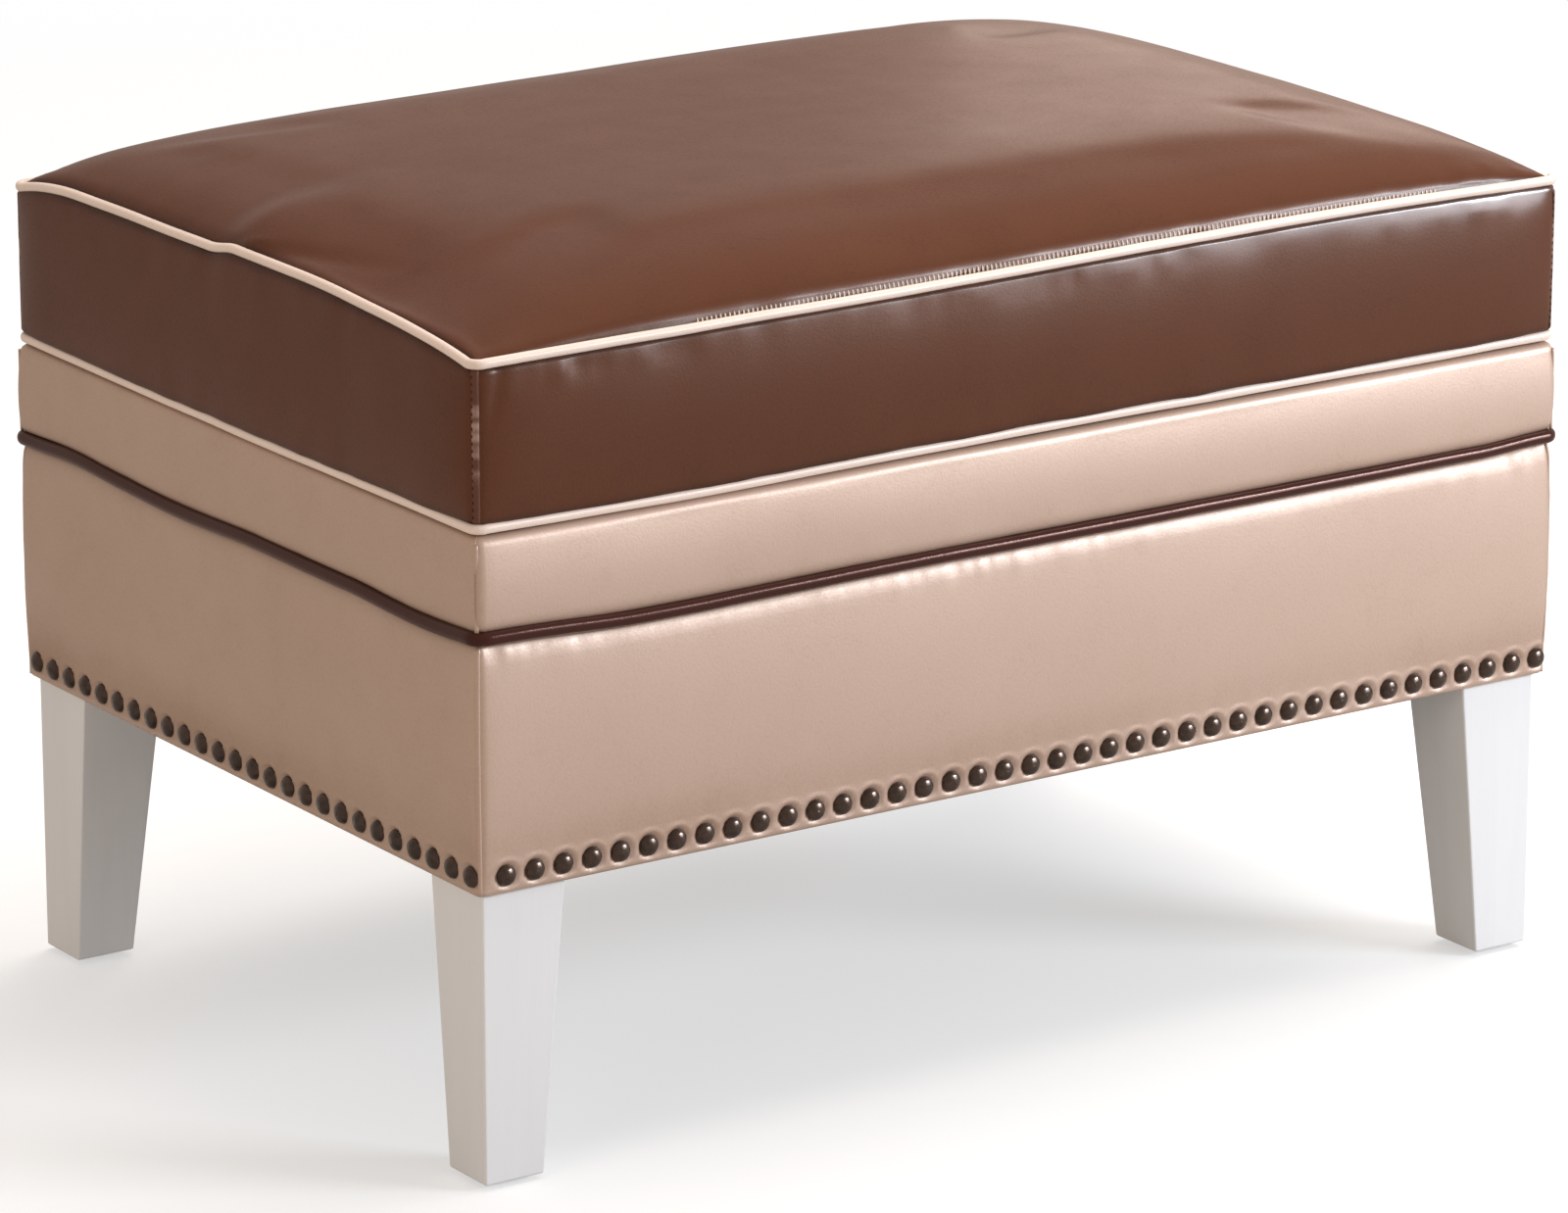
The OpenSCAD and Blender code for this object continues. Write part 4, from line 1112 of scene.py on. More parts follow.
class BENCH_OT_skirt(bpy.types.Operator):
    """Builds the padded skirt panels with their dimples round the nails and their folded edges"""

    bl_idname = "bench.skirt"
    bl_label = "Skirt"

    def execute(self, context):
        sizes, form = context.scene.bench_sizes, context.scene.bench_form
        for number, side in enumerate(SIDES):
            self.panel(side, number, sizes, form)
        return {"FINISHED"}

    def panel(self, side, number, sizes, form):
        rows = SideRows(side, sizes.body_w, sizes.body_d, sizes.corner_r, 0.0024)
        long, x0 = rows.long, rows.x0
        foot, head = sizes.skirt_foot + 0.0002, sizes.dark_z - sizes.dark_r
        span = head - sizes.nail_z
        nails = nail_places(side, sizes)
        pull = sum(bell(x0 - nail, 0.0045) for nail in nails)
        gathers = (ripple(x0, 0.0085, form.seed + 50 + number)
                   + 0.6 * ripple(x0, 0.0052, form.seed + 55 + number))
        calm = 0.3 + 0.7 * np.clip(ripple(x0, 0.11, form.seed + 57 + number) + 0.4, 0, 1)
        calm = calm + 0.8 * bell(long / 2 - 0.018 - np.abs(x0), 0.014)
        # Painted shade just above the nails, stronger in places.
        painted_light = 0.55 + 0.35 * ripple(x0, 0.06, form.seed + 58)
        # Rows of the turned-under foot, with a little painted shade.
        for out, z in ((-0.0042, 0.0), (-0.0022, 0.0), (-0.0007, 0.00025), (-0.0001, 0.0008)):
            rows.add(out, foot + z, seam=0.25)
        for z in np.concatenate([
                np.arange(foot + 0.0016, sizes.nail_z + 0.012, 0.0013),
                np.linspace(sizes.nail_z + 0.0125, head - 0.012, 22),
                head - 0.0105 + 0.0105 * (1 - (1 - np.linspace(0, 1, 8)) ** 1.6)]):
            above = z - sizes.nail_z
            u = above / span
            edge = 0.0009 * ease((z - foot) / 0.003) * (1 - ease(u / 0.12))
            lumps = 0.0005 * dapple(x0 + number * 7, z + 0 * x0, 0.09, form.seed + 40) * ease(u / 0.3)
            out = skirt_swell(sizes, form, z) + edge + lumps
            # Each nail presses its own place flat and raises a low ring round it
            for nail in nails:
                near = np.hypot(x0 - nail, above)
                pressed = bell(np.clip(near - 0.0062, 0, 1), 0.0015)
                out = out + 0.0008 * bell(near - 0.0085, 0.0013)
                out = out * (1 - pressed) + 0.00002 * pressed
            out = out - 0.00035 * pull * np.exp(-np.clip(above - 0.006, 0, 1) / 0.008) * (above > 0)
            out = out + form.gather * gathers * calm * bell(head - z - 0.004, 0.0075)
            out = out - tucked((z - (head - 0.015)) / 0.015, SKIRT_ROLL)
            out = out * (1 - 0.5 * near_corners(rows))
            # Painted shade under the dark piping, at the corners and just above the nails.
            dark = np.exp(-(head - z) / 0.0022) + corner_shade(rows)
            dark = dark + painted_light * bell(above - 0.006, 0.019) * (above > -0.006)
            rows.add(out, z + dark_wave(side, 0.5 - x0 / long) * max(u, 0) ** 3, dark)
        # Rows that turn in under the dark piping, in full painted shade.
        for out, lift in ((-0.0065, 0.0003), (-0.010, 0.0004), (-0.015, 0.0004), (-0.021, 0.0)):
            rows.add(out, lambda x: head + lift + dark_wave(side, 0.5 - np.clip(x / long, -0.5, 0.5)), 1.0)
        points, faces, seam = self.add_hem(*rows.surface(), rows, sizes)
        panel = make_piece("skirt_cover_" + side, points, faces, MATERIALS["base leather"])
        paint_points(panel, "seam", seam)
        thicken(panel, LEATHER_THICK)
        seat(panel, "base", "base_leather", "skirt_" + side)

    def add_hem(self, points, faces, seam, rows, sizes):
        """The edge turned under the rails between the legs, with small pleats."""
        half = rows.long / 2 - sizes.leg_inset - sizes.leg_top - 0.0025
        xs = np.linspace(-half, half, int(2 * half / 0.006))
        outs = np.linspace(-0.0035, -0.0255, 6)
        hem = []
        for k, out in enumerate(outs):
            px, py = rows.place(xs, np.full(len(xs), out))
            z = sizes.skirt_foot + 0.0001 - 0.0004 * (1 + ripple(xs + k * 0.002, 0.02, 81)) * (k > 0)
            hem.append(np.stack([px, py, np.broadcast_to(z, px.shape)], axis=1))
        hem = np.concatenate(hem)
        hem_faces = face_outwards(grid_faces(len(outs), len(xs)), hem, (0.0, 0.0, -1.0))
        # The hem takes a little painted shade.
        return (np.concatenate([points, hem]), np.concatenate([faces, hem_faces + len(points)]),
                np.concatenate([seam, np.full(len(hem), 0.2)]))


class BENCH_OT_band(bpy.types.Operator):
    """Builds the padded band panels, turned over onto the deck"""

    bl_idname = "bench.band"
    bl_label = "Band"

    def execute(self, context):
        sizes, form = context.scene.bench_sizes, context.scene.bench_form
        for number, side in enumerate(SIDES):
            self.panel(side, number, sizes, form)
        return {"FINISHED"}

    def panel(self, side, number, sizes, form):
        rows = SideRows(side, sizes.body_w, sizes.body_d, sizes.corner_r, 0.006)
        long, x0 = rows.long, rows.x0
        foot, head = sizes.dark_z + sizes.dark_r - 0.0006, sizes.deck_z
        proud, turn_r = 0.0015, 0.006
        t = 0.5 - x0 / long
        gathers = ripple(x0, 0.010, form.seed + 65 + number)
        gathers = gathers * (0.3 + 0.7 * ripple(x0, 0.1, form.seed + 66) ** 2)
        for z in foot + (head - turn_r - foot) * np.concatenate([
                0.16 * np.linspace(0, 1, 7)[:-1] ** 1.4, np.linspace(0.16, 1, 12)]):
            u = (z - foot) / (head - foot)
            full = form.band_fill * np.clip(1 - np.abs(2 * u - 0.8) ** 2.0, -1, 1)
            full = full + 0.7 * form.gather * gathers * bell(z - foot - 0.004, 0.007)
            out = proud + full + 0.0004 * dapple(x0 + number * 5, z + 0 * x0, 0.08, form.seed + 60)
            out = out - tucked(1 - (z - foot) / 0.007, 0.0036) - 0.0006 * near_corners(rows)
            level = z + dark_wave(side, t) * (1 - u) ** 3 + 0.4 * low_wave(side, t) * u ** 3
            # Painted shade just above the dark piping and at the corners.
            rows.add(out, level, np.exp(-(z - foot) / 0.003) + corner_shade(rows))

        def edge_wave(x, share=1.0):
            return 0.4 * low_wave(side, 0.5 - x / long) * share

        # The leather turns over the edge and lies on the deck under the cushion
        for step in np.radians([22, 45, 68, 90]):
            z = head - turn_r + turn_r * math.sin(step)
            rows.add(proud - turn_r * (1 - math.cos(step)), lambda x: z + edge_wave(x))
        for out in np.linspace(-0.0085, -0.045, 9):
            rows.add(out, lambda x: head - 0.0002 * (1 + ripple(x + 2 * out, 0.03, form.seed + 9))
                     + edge_wave(x, bell(out + 0.006, 0.006)))
        points, faces, seam = rows.surface(lean=0.5)
        panel = make_piece("band_cover_" + side, points, faces, MATERIALS["base leather"])
        paint_points(panel, "seam", seam)
        thicken(panel, LEATHER_THICK)
        seat(panel, "base", "base_leather", "band_" + side)


def loop_block(name, profile, w, d, r, material):
    """A closed profile of (out, z) carried round the body with mitred corners."""
    blocks = Blocks()
    for side in SIDES:
        rows = SideRows(side, w, d, r, 0.02)
        for out, z in profile:
            rows.add(out, z)
        points = np.concatenate(rows.points)
        blocks.add(points, grid_faces(len(profile) + 1, len(rows.share)) % len(points))
    return blocks.make(name, material, weld=True)


class BENCH_OT_wadding(bpy.types.Operator):
    """Builds the fibre wadding behind the skirt, and the deck's foam with its rounded edge"""

    bl_idname = "bench.wadding"
    bl_label = "Wadding and deck foam"

    def execute(self, context):
        sizes, form = context.scene.bench_sizes, context.scene.bench_form
        plan = (sizes.body_w, sizes.body_d, sizes.corner_r)
        rail = sizes.body_d / 2 + float(box_size("front_rail")[0][1]) - 0.0001
        foot, head = float(box_size("skirt_padding")[0][2]) + 0.0005, sizes.dark_z - sizes.dark_r - 0.0042
        levels = np.linspace(foot, head, 26)
        outer = 0.5 * skirt_swell(sizes, form, levels) - 0.0021
        outer = outer - tucked((levels - (head - 0.014)) / 0.014, 0.0024)
        profile = list(zip(outer, levels)) + [(-rail, head), (-rail, foot)]
        seat(loop_block("skirt_wadding", profile, *plan, "fibre"), "base", "fibre", "skirt_padding")

        low, high = box_size("deck_foam")
        foot, head = float(low[2]) + 0.0008, float(high[2]) - 0.0014
        felt_top = float(box_size("spring_felt")[1][2]) + 0.0003
        edge_r, ring_in = 0.0065, 0.050
        profile = [(-0.0040, foot), (-0.0022, foot + 0.004), (-0.0010, foot + 0.012),
                   (-0.0007, foot + 0.025)]
        profile += [(-0.0012 - edge_r * (1 - math.cos(a)), head - edge_r + edge_r * math.sin(a))
                    for a in np.radians([0, 25, 45, 65, 90])]
        profile += [(-0.030, head), (-ring_in, head), (-ring_in, felt_top), (-0.030, felt_top),
                    (-rail, felt_top), (-rail, foot)]
        seat(loop_block("deck_foam_edge", profile, *plan, "foam"), "base", "foam", "deck_foam")

        half_x, half_y = sizes.body_w / 2 - ring_in - 0.0003, sizes.body_d / 2 - ring_in - 0.0003
        xs, ys = np.linspace(-half_x, half_x, 40), np.linspace(-half_y, half_y, 28)
        zs = np.linspace(felt_top, head, 5)
        cells, faces = box_surface(xs, ys, zs)
        points = np.stack([xs[cells[:, 0]], ys[cells[:, 1]], zs[cells[:, 2]]], axis=1)
        top = cells[:, 2] == len(zs) - 1
        points[top, 2] -= 0.0003 * (1 + dapple(points[top, 0], points[top, 1], 0.04, form.seed + 90))
        foam = make_piece("deck_foam_middle", points, faces, MATERIALS["foam"])
        seat(foam, "base", "foam", "deck_foam")
        return {"FINISHED"}


class BENCH_OT_deck(bpy.types.Operator):
    """Builds the black deck cloth under the cushion and the dust cover under the frame"""

    bl_idname = "bench.deck"
    bl_label = "Deck and dust cover"

    def execute(self, context):
        form = context.scene.bench_form
        self.sheet("deck_sheet", "deck_cloth", form, sag=-0.0012, notch=0.0, under="deck_foam")
        self.sheet("dust_sheet", "dust_cover", form, sag=0.004, notch=DUST_NOTCH, under="front_rail")
        return {"FINISHED"}

    def sheet(self, name, node, form, sag, notch, under):
        """A stretched cloth, with a square cut out at each corner where a leg stands in its way."""
        low, high = box_size(node)
        xs, ys = np.linspace(low[0], high[0], 96), np.linspace(low[1], high[1], 64)
        if notch:
            for axis in (xs, ys):
                for sign in (-1, 1):
                    mark = sign * (axis[-1] - notch)
                    axis[np.argmin(np.abs(axis - mark))] = mark
        gx, gy = np.meshgrid(xs, ys, indexing="ij")
        dome = (1 - (gx / high[0]) ** 4) * (1 - (gy / high[1]) ** 4)
        z = high[2] - sag * dome + 0.0003 * dapple(gx, gy, 0.05, form.seed + 70) * dome
        if sag < 0:
            z = np.minimum(z, high[2])
        points = np.stack([gx, gy, z], axis=2).reshape(-1, 3)
        faces = grid_faces(len(xs), len(ys))
        if notch:
            centre = points[faces].mean(axis=1)
            corner = (np.abs(centre[:, 0]) > high[0] - notch) & (np.abs(centre[:, 1]) > high[1] - notch)
            faces = faces[~corner]
        used = np.unique(faces)
        renumber = -np.ones(len(points), int)
        renumber[used] = np.arange(len(used))
        piece = make_piece(name, points[used], renumber[faces], MATERIALS["black cloth"])
        thicken(piece, CLOTH_THICK)
        seat(piece, "base", "black_cloth", node)


# Seams and stitches


class BENCH_OT_corner_seams(bpy.types.Operator):
    """Builds the raised upright seams at the corners, and the cushion's stitches"""

    bl_idname = "bench.corner_seams"
    bl_label = "Corner seams"

    def execute(self, context):
        sizes, form = context.scene.bench_sizes, context.scene.bench_form
        half = (sizes.top_z - sizes.low_z) / 2 - sizes.welt_r
        middle = (sizes.top_z + sizes.low_z) / 2
        cushion_plan = (sizes.path_w, sizes.path_d, sizes.path_r)
        body_plan = (sizes.body_w, sizes.body_d, sizes.corner_r)

        def cushion_out(z):
            emerge = ease((half + sizes.welt_r - np.abs(z - middle) - 0.0012) / 0.0035)
            return -form.seam_inset + (form.seam_inset + CORNER_PROUD) * emerge

        zs = np.linspace(middle - half, middle + half, 90)
        ribs = self.ribs("cushion_corner_seams", cushion_plan, zs, cushion_out, 0.0022, 0.0010,
                         "ridge highlight leather")
        level = read_points(ribs.data)[:, 2]
        # Painted highlight along the middle of each cushion rib; its ends take the cushion's own colour.
        painted_light = hump(level, middle + 0.004, 0.042) * (0.75 + 0.45 * ripple(level, 0.0034, 15))
        paint_points(ribs, "seam", 1.75 * (1 - np.clip(painted_light, 0, 1)))
        seat(ribs, "cushion", "cushion_leather")
        self.stitches(cushion_plan, cushion_out, middle, half)
        self.top_stitches(cushion_plan, sizes, form)
        zs = np.linspace(sizes.skirt_foot + 0.001, sizes.dark_z - sizes.dark_r - 0.001, 50)
        skirt = self.ribs("skirt_corner_seams", body_plan, zs, lambda z: self.padded_out(z, sizes, form),
                          0.0014, 0.0010, "base leather")
        zs = np.linspace(sizes.dark_z + sizes.dark_r, sizes.deck_z - 0.004, 24)
        band = self.ribs("band_corner_seams", body_plan, zs, lambda z: 0.0018 + 0 * z, 0.0013, 0.0009,
                         "base leather")
        for piece in (skirt, band):
            paint_points(piece, "seam", 0.0)
            seat(piece, "base", "base_leather")
        return {"FINISHED"}

    def padded_out(self, z, sizes, form):
        """How far the skirt stands out at its corners."""
        u = np.clip((z - sizes.nail_z) / (sizes.dark_z - sizes.dark_r - sizes.nail_z), 0, 1)
        return 0.5 * (skirt_swell(sizes, form, z) - tucked((u - 0.885) / 0.115, SKIRT_ROLL)) + 0.0002

    def ribs(self, name, plan, zs, out_of, half_width, height, material):
        """A low round rib up each corner."""
        angle = np.radians(np.linspace(0, 360, 13)[:-1])
        section = np.stack([half_width * np.cos(angle), height * np.sin(angle)], axis=1)
        rings, sides = len(zs), len(section)
        blocks = Blocks()
        for sx, sy, centre, outward, across in body_corners(*plan):
            reach = plan[2] + out_of(zs) + 0.00012 * ripple(zs, 0.012, 5 + 2 * sx + sy)
            rows = (centre[None, None, :] + (reach[:, None, None] + section[None, :, 1, None]) * outward
                    + section[None, :, 0, None] * across)
            level = np.broadcast_to(zs[:, None, None], rows.shape[:2] + (1,))
            tube = grid_faces(rings, sides, closed=True)
            caps = [range(sides)[::-1], range((rings - 1) * sides, rings * sides)]
            blocks.add(np.concatenate([rows, level], axis=2).reshape(-1, 3),
                       list(tube[:, ::-1] if sx * sy > 0 else tube) + caps)
        return blocks.make(name, material)

    def stitches(self, plan, out_of, middle, half):
        """Dark stitches along both edges of the cushion's corner seams, standing in for the painted shade
        in their needle holes.
        """
        blocks = Blocks()
        stitch, pattern = capsule(0.0011, 0.00040)
        for _, _, centre, outward, across in body_corners(*plan):
            for z in np.arange(middle - half + 0.004, middle + half - 0.003, 0.0042):
                reach = plan[2] + float(out_of(np.array(z))) + 0.00055
                for shift in (-0.0017, 0.0003):
                    place = centre + reach * outward + shift * across
                    blocks.add(np.stack([
                        place[0] + stitch[:, 0] * outward[0] + stitch[:, 1] * across[0],
                        place[1] + stitch[:, 0] * outward[1] + stitch[:, 1] * across[1],
                        z + stitch[:, 2]], axis=1), pattern)
        seat(blocks.make("cushion_corner_stitches", "needle hole shade thread"), "cushion", "cushion_leather")

    def top_stitches(self, plan, sizes, form):
        """Small pale stitches along the inner edge of the top piping, on the front and the back."""
        x, y, nx, ny, side, share, _ = ring_path(*plan, 0.0031, arc=5)
        stitch, pattern = capsule(0.0019, 0.00060)
        lean = math.radians(14)
        run = -stitch[:, 2] * math.sin(lean) + stitch[:, 0] * math.cos(lean)
        climb = stitch[:, 2] * math.cos(lean) + stitch[:, 0] * math.sin(lean)
        blocks = Blocks()
        for k in range(len(x)):
            label, t = SIDE_ORDER[int(side[k])], float(share[k])
            shown = float(hump(t, 0.54, 0.40)) if label in ("front", "back") else 0.0
            if shown < 0.05:
                continue
            reach = -float(seam_draw(form, label, t)) - form.seam_inset - 0.0003
            level = sizes.top_z + float(seam_lift(form, label, t)) + 0.0024 + 0.0016 * shown
            blocks.add(np.stack([
                x[k] + nx[k] * (reach + run) - ny[k] * stitch[:, 1],
                y[k] + ny[k] * (reach + run) + nx[k] * stitch[:, 1], level + climb], axis=1), pattern)
        seat(blocks.make("top_seam_stitches", "pale thread"), "cushion", "pale_leather")


# Nails


class BENCH_OT_nails(bpy.types.Operator):
    """Builds the domed nail heads with their thin rims"""

    bl_idname = "bench.nails"
    bl_label = "Nails"

    def execute(self, context):
        sizes, form = context.scene.bench_sizes, context.scene.bench_form
        r = sizes.nail_d / 2
        profile = [(0.02, 0.0), (0.985, 0.0), (1.0, 0.00022), (0.995, 0.00055), (0.955, 0.00085)]
        spring = math.radians(12)
        for k in range(1, 8):
            a = math.radians(12 + 78 * k / 7.0)
            profile.append((0.955 * math.cos(a) / math.cos(spring),
                            0.0007 + (NAIL_HEIGHT - 0.0007) * math.sin(a)))
        profile[-1] = (0.02, NAIL_HEIGHT)
        a = 2 * math.pi * np.arange(NAIL_SIDES) / NAIL_SIDES
        faces = [list(f) for f in grid_faces(len(profile), NAIL_SIDES, closed=True)]
        faces += [range(NAIL_SIDES), range((len(profile) - 1) * NAIL_SIDES, len(profile) * NAIL_SIDES)]
        for number, side in enumerate(SIDES):
            _, place, _ = side_frame(side, sizes.body_w, sizes.body_d)
            rng = np.random.default_rng(form.seed + number)
            blocks = Blocks()
            for nail in nail_places(side, sizes):
                tilt = rng.uniform(-0.02, 0.02, 2)
                rings = []
                for share, out in profile:
                    u, v = share * r * np.cos(a), share * r * np.sin(a)
                    lift = out * (1 + tilt[0] * np.cos(a) + tilt[1] * np.sin(a)) + 0.00004
                    rings.append(np.stack([*place(nail + u, lift), sizes.nail_z + v], axis=1))
                blocks.add(np.concatenate(rings), faces)
            seat(blocks.make("nail_heads_" + side, "nail bronze"), "base", "nail_bronze", "nails_" + side)
        return {"FINISHED"}


# Legs


class BENCH_OT_legs(bpy.types.Operator):
    """Builds the four painted legs, tapered on their inner faces, with softened edges"""

    bl_idname = "bench.legs"
    bl_label = "Legs"

    def execute(self, context):
        sizes = context.scene.bench_sizes
        for y_name, sy in (("front", -1), ("back", 1)):
            for x_name, sx in (("left", -1), ("right", 1)):
                self.leg("leg_%s_%s" % (y_name, x_name), sx, sy, sizes)
        return {"FINISHED"}

    def leg(self, node, sx, sy, sizes):
        rows, points = 8, []
        outer_x, outer_y = sizes.body_w / 2 - sizes.leg_inset, sizes.body_d / 2 - sizes.leg_inset
        for k in range(rows + 1):
            share = k / rows
            z = sizes.glide_t + 0.0002 + share * (sizes.leg_h - 0.0004)
            wide = sizes.leg_foot + share * (sizes.leg_top - sizes.leg_foot)
            for ix, iy in ((0, 0), (1, 0), (1, 1), (0, 1)):
                points.append((sx * (outer_x - ix * wide), sy * (outer_y - iy * wide), z))
        faces = [list(f) for f in grid_faces(rows + 1, 4, closed=True)]
        faces += [[3, 2, 1, 0], [rows * 4 + k for k in range(4)]]
        piece = close_up(make_piece(node + "_painted", points, faces, MATERIALS["leg paint"], smooth=False))
        soften_edges(piece, 0.0013)
        seat(piece, "base", "leg_paint", node)


# Zip


class BENCH_OT_zip(bpy.types.Operator):
    """Builds the zip in the cushion's back: woven tape, metal teeth and the slot's stitched edge"""

    bl_idname = "bench.zip"
    bl_label = "Zip"

    def execute(self, context):
        sizes = context.scene.bench_sizes
        middle = (sizes.top_z + sizes.low_z) / 2
        self.tape(middle)
        self.teeth(middle)
        self.placket(sizes, context.scene.bench_form, middle)
        return {"FINISHED"}

    def tape(self, middle):
        xs, zs = np.linspace(-TAPE_HALF, TAPE_HALF, 160), np.linspace(-0.0058, 0.0058, 9)
        gx, gz = np.meshgrid(xs, zs, indexing="ij")
        y = float(box_size("zip_tape")[1][1]) - 0.00005 * (1 + ripple(gx, 0.01, 3))
        points = np.stack([gx, y, middle + gz], axis=2).reshape(-1, 3)
        faces = face_outwards(grid_faces(len(xs), len(zs)), points, (0.0, 1.0, 0.0))
        piece = make_piece("zip_woven_tape", points, faces, MATERIALS["zip cloth"])
        thicken(piece, CLOTH_THICK)
        seat(piece, "cushion", "zip_cloth", "zip_tape")

    def teeth(self, middle):
        """The teeth of both rows, set half a pitch apart, and a stop at each end."""
        low, high = box_size("zip_chain")
        centre = float(low[1] + high[1]) / 2
        blocks = Blocks()
        for k in range(int((high[0] - low[0] - 0.006) / TOOTH_PITCH)):
            for up in (-1, 1):
                x = low[0] + 0.0035 + (k + (0.5 if up > 0 else 0)) * TOOTH_PITCH
                self.block(blocks, x, centre, middle + up * 0.00125, 0.00078, 0.00085, 0.00145)
        for end in (low[0] + 0.0015, high[0] - 0.0015):
            self.block(blocks, end, centre, middle, 0.0015, 0.00088, 0.0029)
        seat(blocks.make("zip_teeth", "antique brass", smooth=False), "cushion", "zip_metal", "zip_chain")

    def block(self, blocks, x, y, z, hx, hy, hz):
        """One tooth: a block with its outer face drawn in."""
        points = [(x + ux * hx * share, y + depth * hy, z + uz * hz * (0.5 + 0.5 * share))
                  for depth, share in ((-1, 1.0), (0.45, 1.0), (1, 0.62))
                  for ux, uz in ((-1, -1), (1, -1), (1, 1), (-1, 1))]
        blocks.add(points, [list(f) for f in grid_faces(3, 4, closed=True)] + [range(4), range(8, 12)])

    def placket(self, sizes, form, middle):
        """A folded leather edge round the slot, with a row of stitches above and below it."""
        face = sizes.path_d / 2 + form.back_bulge
        angle = np.radians(np.arange(10) * 36)
        half_x, half_z, r = 0.3122, 0.0072, 0.0014
        x, z, nx, nz, _, _, along = ring_path(2 * half_x, 2 * half_z, 0.0022, 0.004, arc=5)
        y = np.full(len(x), face - 0.0003) + 0.0001 * ripple(along, 0.03, 8)
        centres = np.stack([x, y, middle + z], axis=1)
        out = np.stack([nx, 0 * nx, nz], axis=1)
        up = np.tile([0.0, 1.0, 0.0], (len(x), 1))
        section = np.stack([1.2 * r * np.cos(angle), 0.5 * r * np.sin(angle)], axis=1)
        piece = close_up(sweep("zip_slot_edge", centres, out, up, section, MATERIALS["cushion leather"]))
        paint_points(piece, "seam", 0.0)
        seat(piece, "cushion", "cushion_leather")
        stitch, pattern = capsule(0.0015, 0.0003)
        blocks = Blocks()
        for level in (-0.0105, 0.0105):
            for place in np.arange(-TAPE_HALF, TAPE_HALF, 0.0042):
                blocks.add(np.stack([place + stitch[:, 2], face + 0.00005 + stitch[:, 0],
                                     middle + level + stitch[:, 1]], axis=1), pattern)
        seat(blocks.make("zip_stitches", "zip cloth"), "cushion", "zip_cloth")


# Solids that stay


class BENCH_OT_solid_finishes(bpy.types.Operator):
    """Gives the solids that stay in view their finishes"""

    bl_idname = "bench.solid_finishes"
    bl_label = "Finishes of the solids"

    def execute(self, context):
        finishes = {
            "glide plastic": ("glides",),
            "zinc steel": ("hanger_bolts", "t_nuts", "spring_clips"),
            "plywood": ("corner_gussets",),
            "hardwood along X": ("corner_blocks", "front_rail", "back_rail"),
            "hardwood along Y": ("left_rail", "right_rail", "centre_stretcher"),
            "spring wire": ("seat_springs",),
            "felt": ("spring_felt",),
            "antique brass": ("zip_slider", "zip_pull"),
        }
        for finish, nodes in finishes.items():
            for node in nodes:
                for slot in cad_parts[node].material_slots:
                    slot.link = "OBJECT"
                    slot.material = MATERIALS[finish]
        return {"FINISHED"}


# Studio


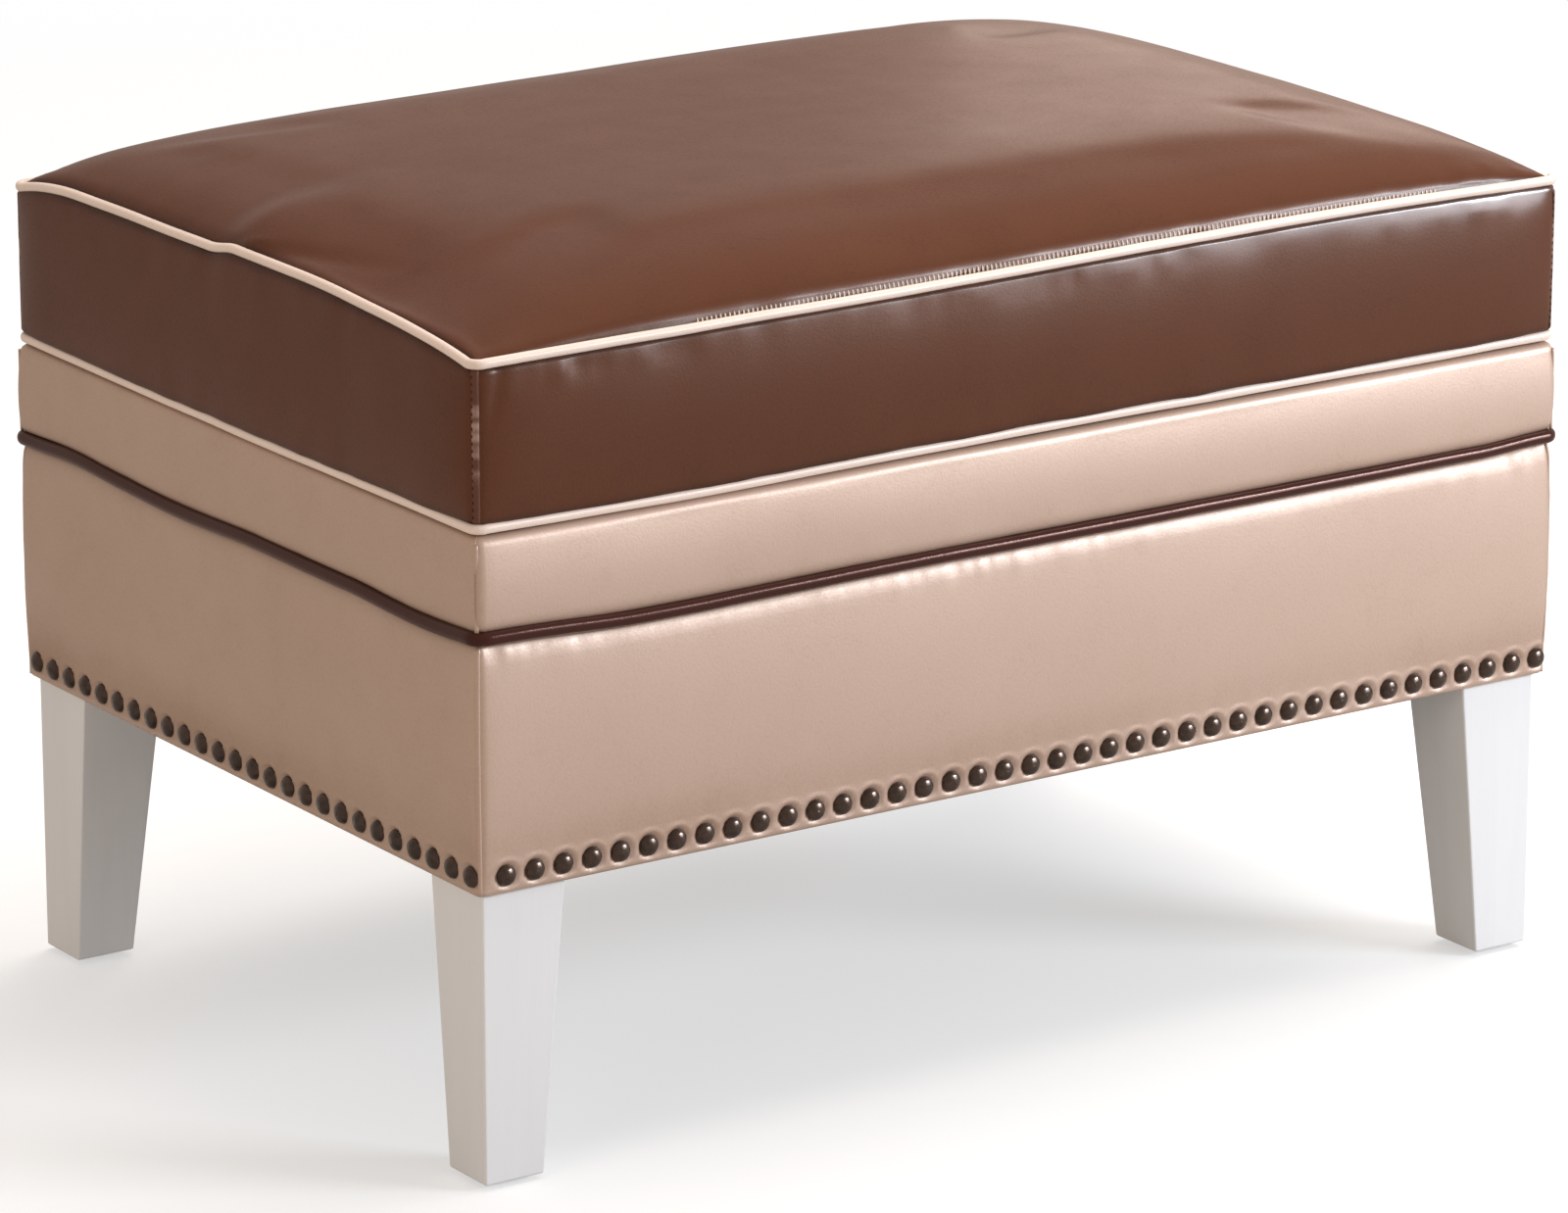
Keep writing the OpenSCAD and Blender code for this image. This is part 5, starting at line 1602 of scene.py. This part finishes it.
class BENCH_OT_studio(bpy.types.Operator):
    """Builds the pale floor, the soft lights and the camera"""

    bl_idname = "bench.studio"
    bl_label = "Studio"

    def execute(self, context):
        scene = context.scene
        self.floor(scene.bench_colours)
        self.world(scene)
        self.lamp("top softbox", (1.0, 0.3, 2.6), (0.0, 0.0, 0.3), 2.6, 84, (1.0, 0.95, 0.90),
                  unseen_by="glossy")
        self.lamp("front softbox", (2.0, -2.3, 0.95), (0.1, 0.0, 0.3), 1.2, 40, (0.85, 0.91, 1.0))
        beside, seam = (2.2, -2.42, 1.38), (0.34, -0.26, 0.47)
        self.lamp("front kicker", beside, seam, 1.1, 44, (0.82, 0.91, 1.0), height=0.22)
        self.lamp("front card", beside, seam, 1.3, 36, (0.84, 0.92, 1.0), height=0.26, unseen_by="diffuse")
        self.lamp("back strip", (2.35, 2.35, 1.15), (0.2, 0.1, 0.5), 0.9, 3.6, (1.0, 0.84, 0.72))
        self.lamp("left fill", (-2.7, -0.9, 0.75), (0.0, 0.0, 0.2), 1.6, 21, (1.0, 0.90, 0.77),
                  unseen_by="glossy")
        self.camera(scene)
        scene.view_settings.view_transform = "Standard"
        return {"FINISHED"}

    def floor(self, colours):
        """White for the camera, a mid grey for other rays, and fading out at its rim."""
        material = bpy.data.materials.new("studio floor")
        material.use_nodes = True
        w = Wiring(material.node_tree)
        cloud = w.add("ShaderNodeTexNoise", {"Scale": 3.0, "Detail": 3.0}).outputs["Fac"]
        plain = rgba(colours.floor)
        tint = w.mix(cloud, plain, tuple(0.985 * c for c in plain[:3]) + (1.0,))
        seen = w.add("ShaderNodeLightPath").outputs["Is Camera Ray"]
        place = w.add("ShaderNodeTexCoord").outputs["Object"]
        reach = w.add("ShaderNodeVectorMath", {0: place}, operation="LENGTH").outputs["Value"]
        fade = w.add("ShaderNodeMapRange", {"Value": reach, "From Min": 0.9, "From Max": 3.2, "To Min": 1.0,
                                            "To Max": 0.0}, interpolation_type="SMOOTHSTEP").outputs[0]
        surface = w.tree.nodes["Principled BSDF"].inputs
        tint = w.mix(seen, (0.36, 0.345, 0.33, 1.0), w.mix(0.42, tint, (0.0, 0.0, 0.0, 1.0)))
        for key, value in {
                "Base Color": tint,
                "Emission Color": w.mix(seen, (0.16, 0.155, 0.15, 1.0), (1.0, 1.0, 1.0, 1.0)),
                "Emission Strength": 0.50, "Roughness": 0.9, "Specular IOR Level": 0.1,
                "Alpha": fade}.items():
            w.give(surface[key], value)
        points = [(-6, -6, 0), (6, -6, 0), (6, 6, 0), (-6, 6, 0)]
        make_piece("studio_floor", points, [(0, 1, 2, 3)], material, smooth=False)

    def world(self, scene):
        """White behind the object, a warm dimmer light on it, and a little white in reflections."""
        world = bpy.data.worlds.new("studio")
        scene.world = world
        world.use_nodes = True
        world.node_tree.nodes.clear()
        w = Wiring(world.node_tree)
        rays = w.add("ShaderNodeLightPath").outputs
        seen = w.math("MAXIMUM", rays["Is Camera Ray"], rays["Is Transmission Ray"])
        seen = w.math("MAXIMUM", seen, w.times(rays["Is Glossy Ray"], 0.20))
        light = w.add("ShaderNodeBackground", {
            "Color": w.mix(seen, (1.0, 0.87, 0.78, 1.0), (1.0, 1.0, 1.0, 1.0)),
            "Strength": w.spread(seen, 0.0, 1.0, 0.36, 1.0)})
        w.add("ShaderNodeOutputWorld", {"Surface": light.outputs[0]})

    def lamp(self, name, place, target, size, power, tint, height=None, unseen_by=None):
        """A square area lamp, or one of the given height, that one kind of ray may not see."""
        data = bpy.data.lights.new(name, "AREA")
        data.shape = "RECTANGLE" if height else "SQUARE"
        data.size = size
        if height:
            data.size_y = height
        data.energy = power
        data.color = tint
        lamp = bpy.data.objects.new(name, data)
        lamp.location = place
        lamp.rotation_euler = (Vector(target) - Vector(place)).to_track_quat("-Z", "Y").to_euler()
        if unseen_by:
            setattr(lamp, "visible_" + unseen_by, False)
        bpy.context.scene.collection.objects.link(lamp)

    def camera(self, scene):
        data = bpy.data.cameras.new("photograph view")
        data.sensor_fit = "HORIZONTAL"
        data.sensor_width = 36.0
        data.lens = 175.8
        data.clip_end = 60.0
        camera = bpy.data.objects.new("photograph view", data)
        camera.location = (-2.515, -3.691, 1.544)
        camera.rotation_euler = Vector((0.5396, 0.7925, -0.2844)).to_track_quat("-Z", "Y").to_euler()
        scene.collection.objects.link(camera)
        scene.camera = camera


# Panel and registration


OPERATORS = (
    BENCH_OT_cushion_cover, BENCH_OT_pipings, BENCH_OT_corner_seams, BENCH_OT_skirt, BENCH_OT_band,
    BENCH_OT_wadding, BENCH_OT_deck, BENCH_OT_nails, BENCH_OT_legs, BENCH_OT_zip,
    BENCH_OT_solid_finishes, BENCH_OT_studio,
)


class BENCH_PT_builder(bpy.types.Panel):
    """Lists the steps that build the bench"""

    bl_idname = "BENCH_PT_builder"
    bl_label = "Bed bench"
    bl_space_type = "VIEW_3D"
    bl_region_type = "UI"
    bl_category = "Bench"

    def draw(self, context):
        layout = self.layout
        for operator in OPERATORS:
            layout.operator(operator.bl_idname)
        for group in (context.scene.bench_sizes, context.scene.bench_form, context.scene.bench_colours):
            box = layout.box()
            for name in group.__annotations__:
                box.prop(group, name)


CLASSES = (BenchSizes, BenchForm, BenchColours) + OPERATORS + (BENCH_PT_builder,)


def register():
    for item in CLASSES:
        bpy.utils.register_class(item)
    bpy.types.Scene.bench_sizes = PointerProperty(type=BenchSizes)
    bpy.types.Scene.bench_form = PointerProperty(type=BenchForm)
    bpy.types.Scene.bench_colours = PointerProperty(type=BenchColours)


def unregister():
    del bpy.types.Scene.bench_sizes
    del bpy.types.Scene.bench_form
    del bpy.types.Scene.bench_colours
    for item in reversed(CLASSES):
        bpy.utils.unregister_class(item)


def main():
    register()
    make_materials(bpy.context.scene.bench_colours)
    for operator in OPERATORS:
        area, name = operator.bl_idname.split(".")
        getattr(getattr(bpy.ops, area), name)()


if __name__ == "__main__":
    main()
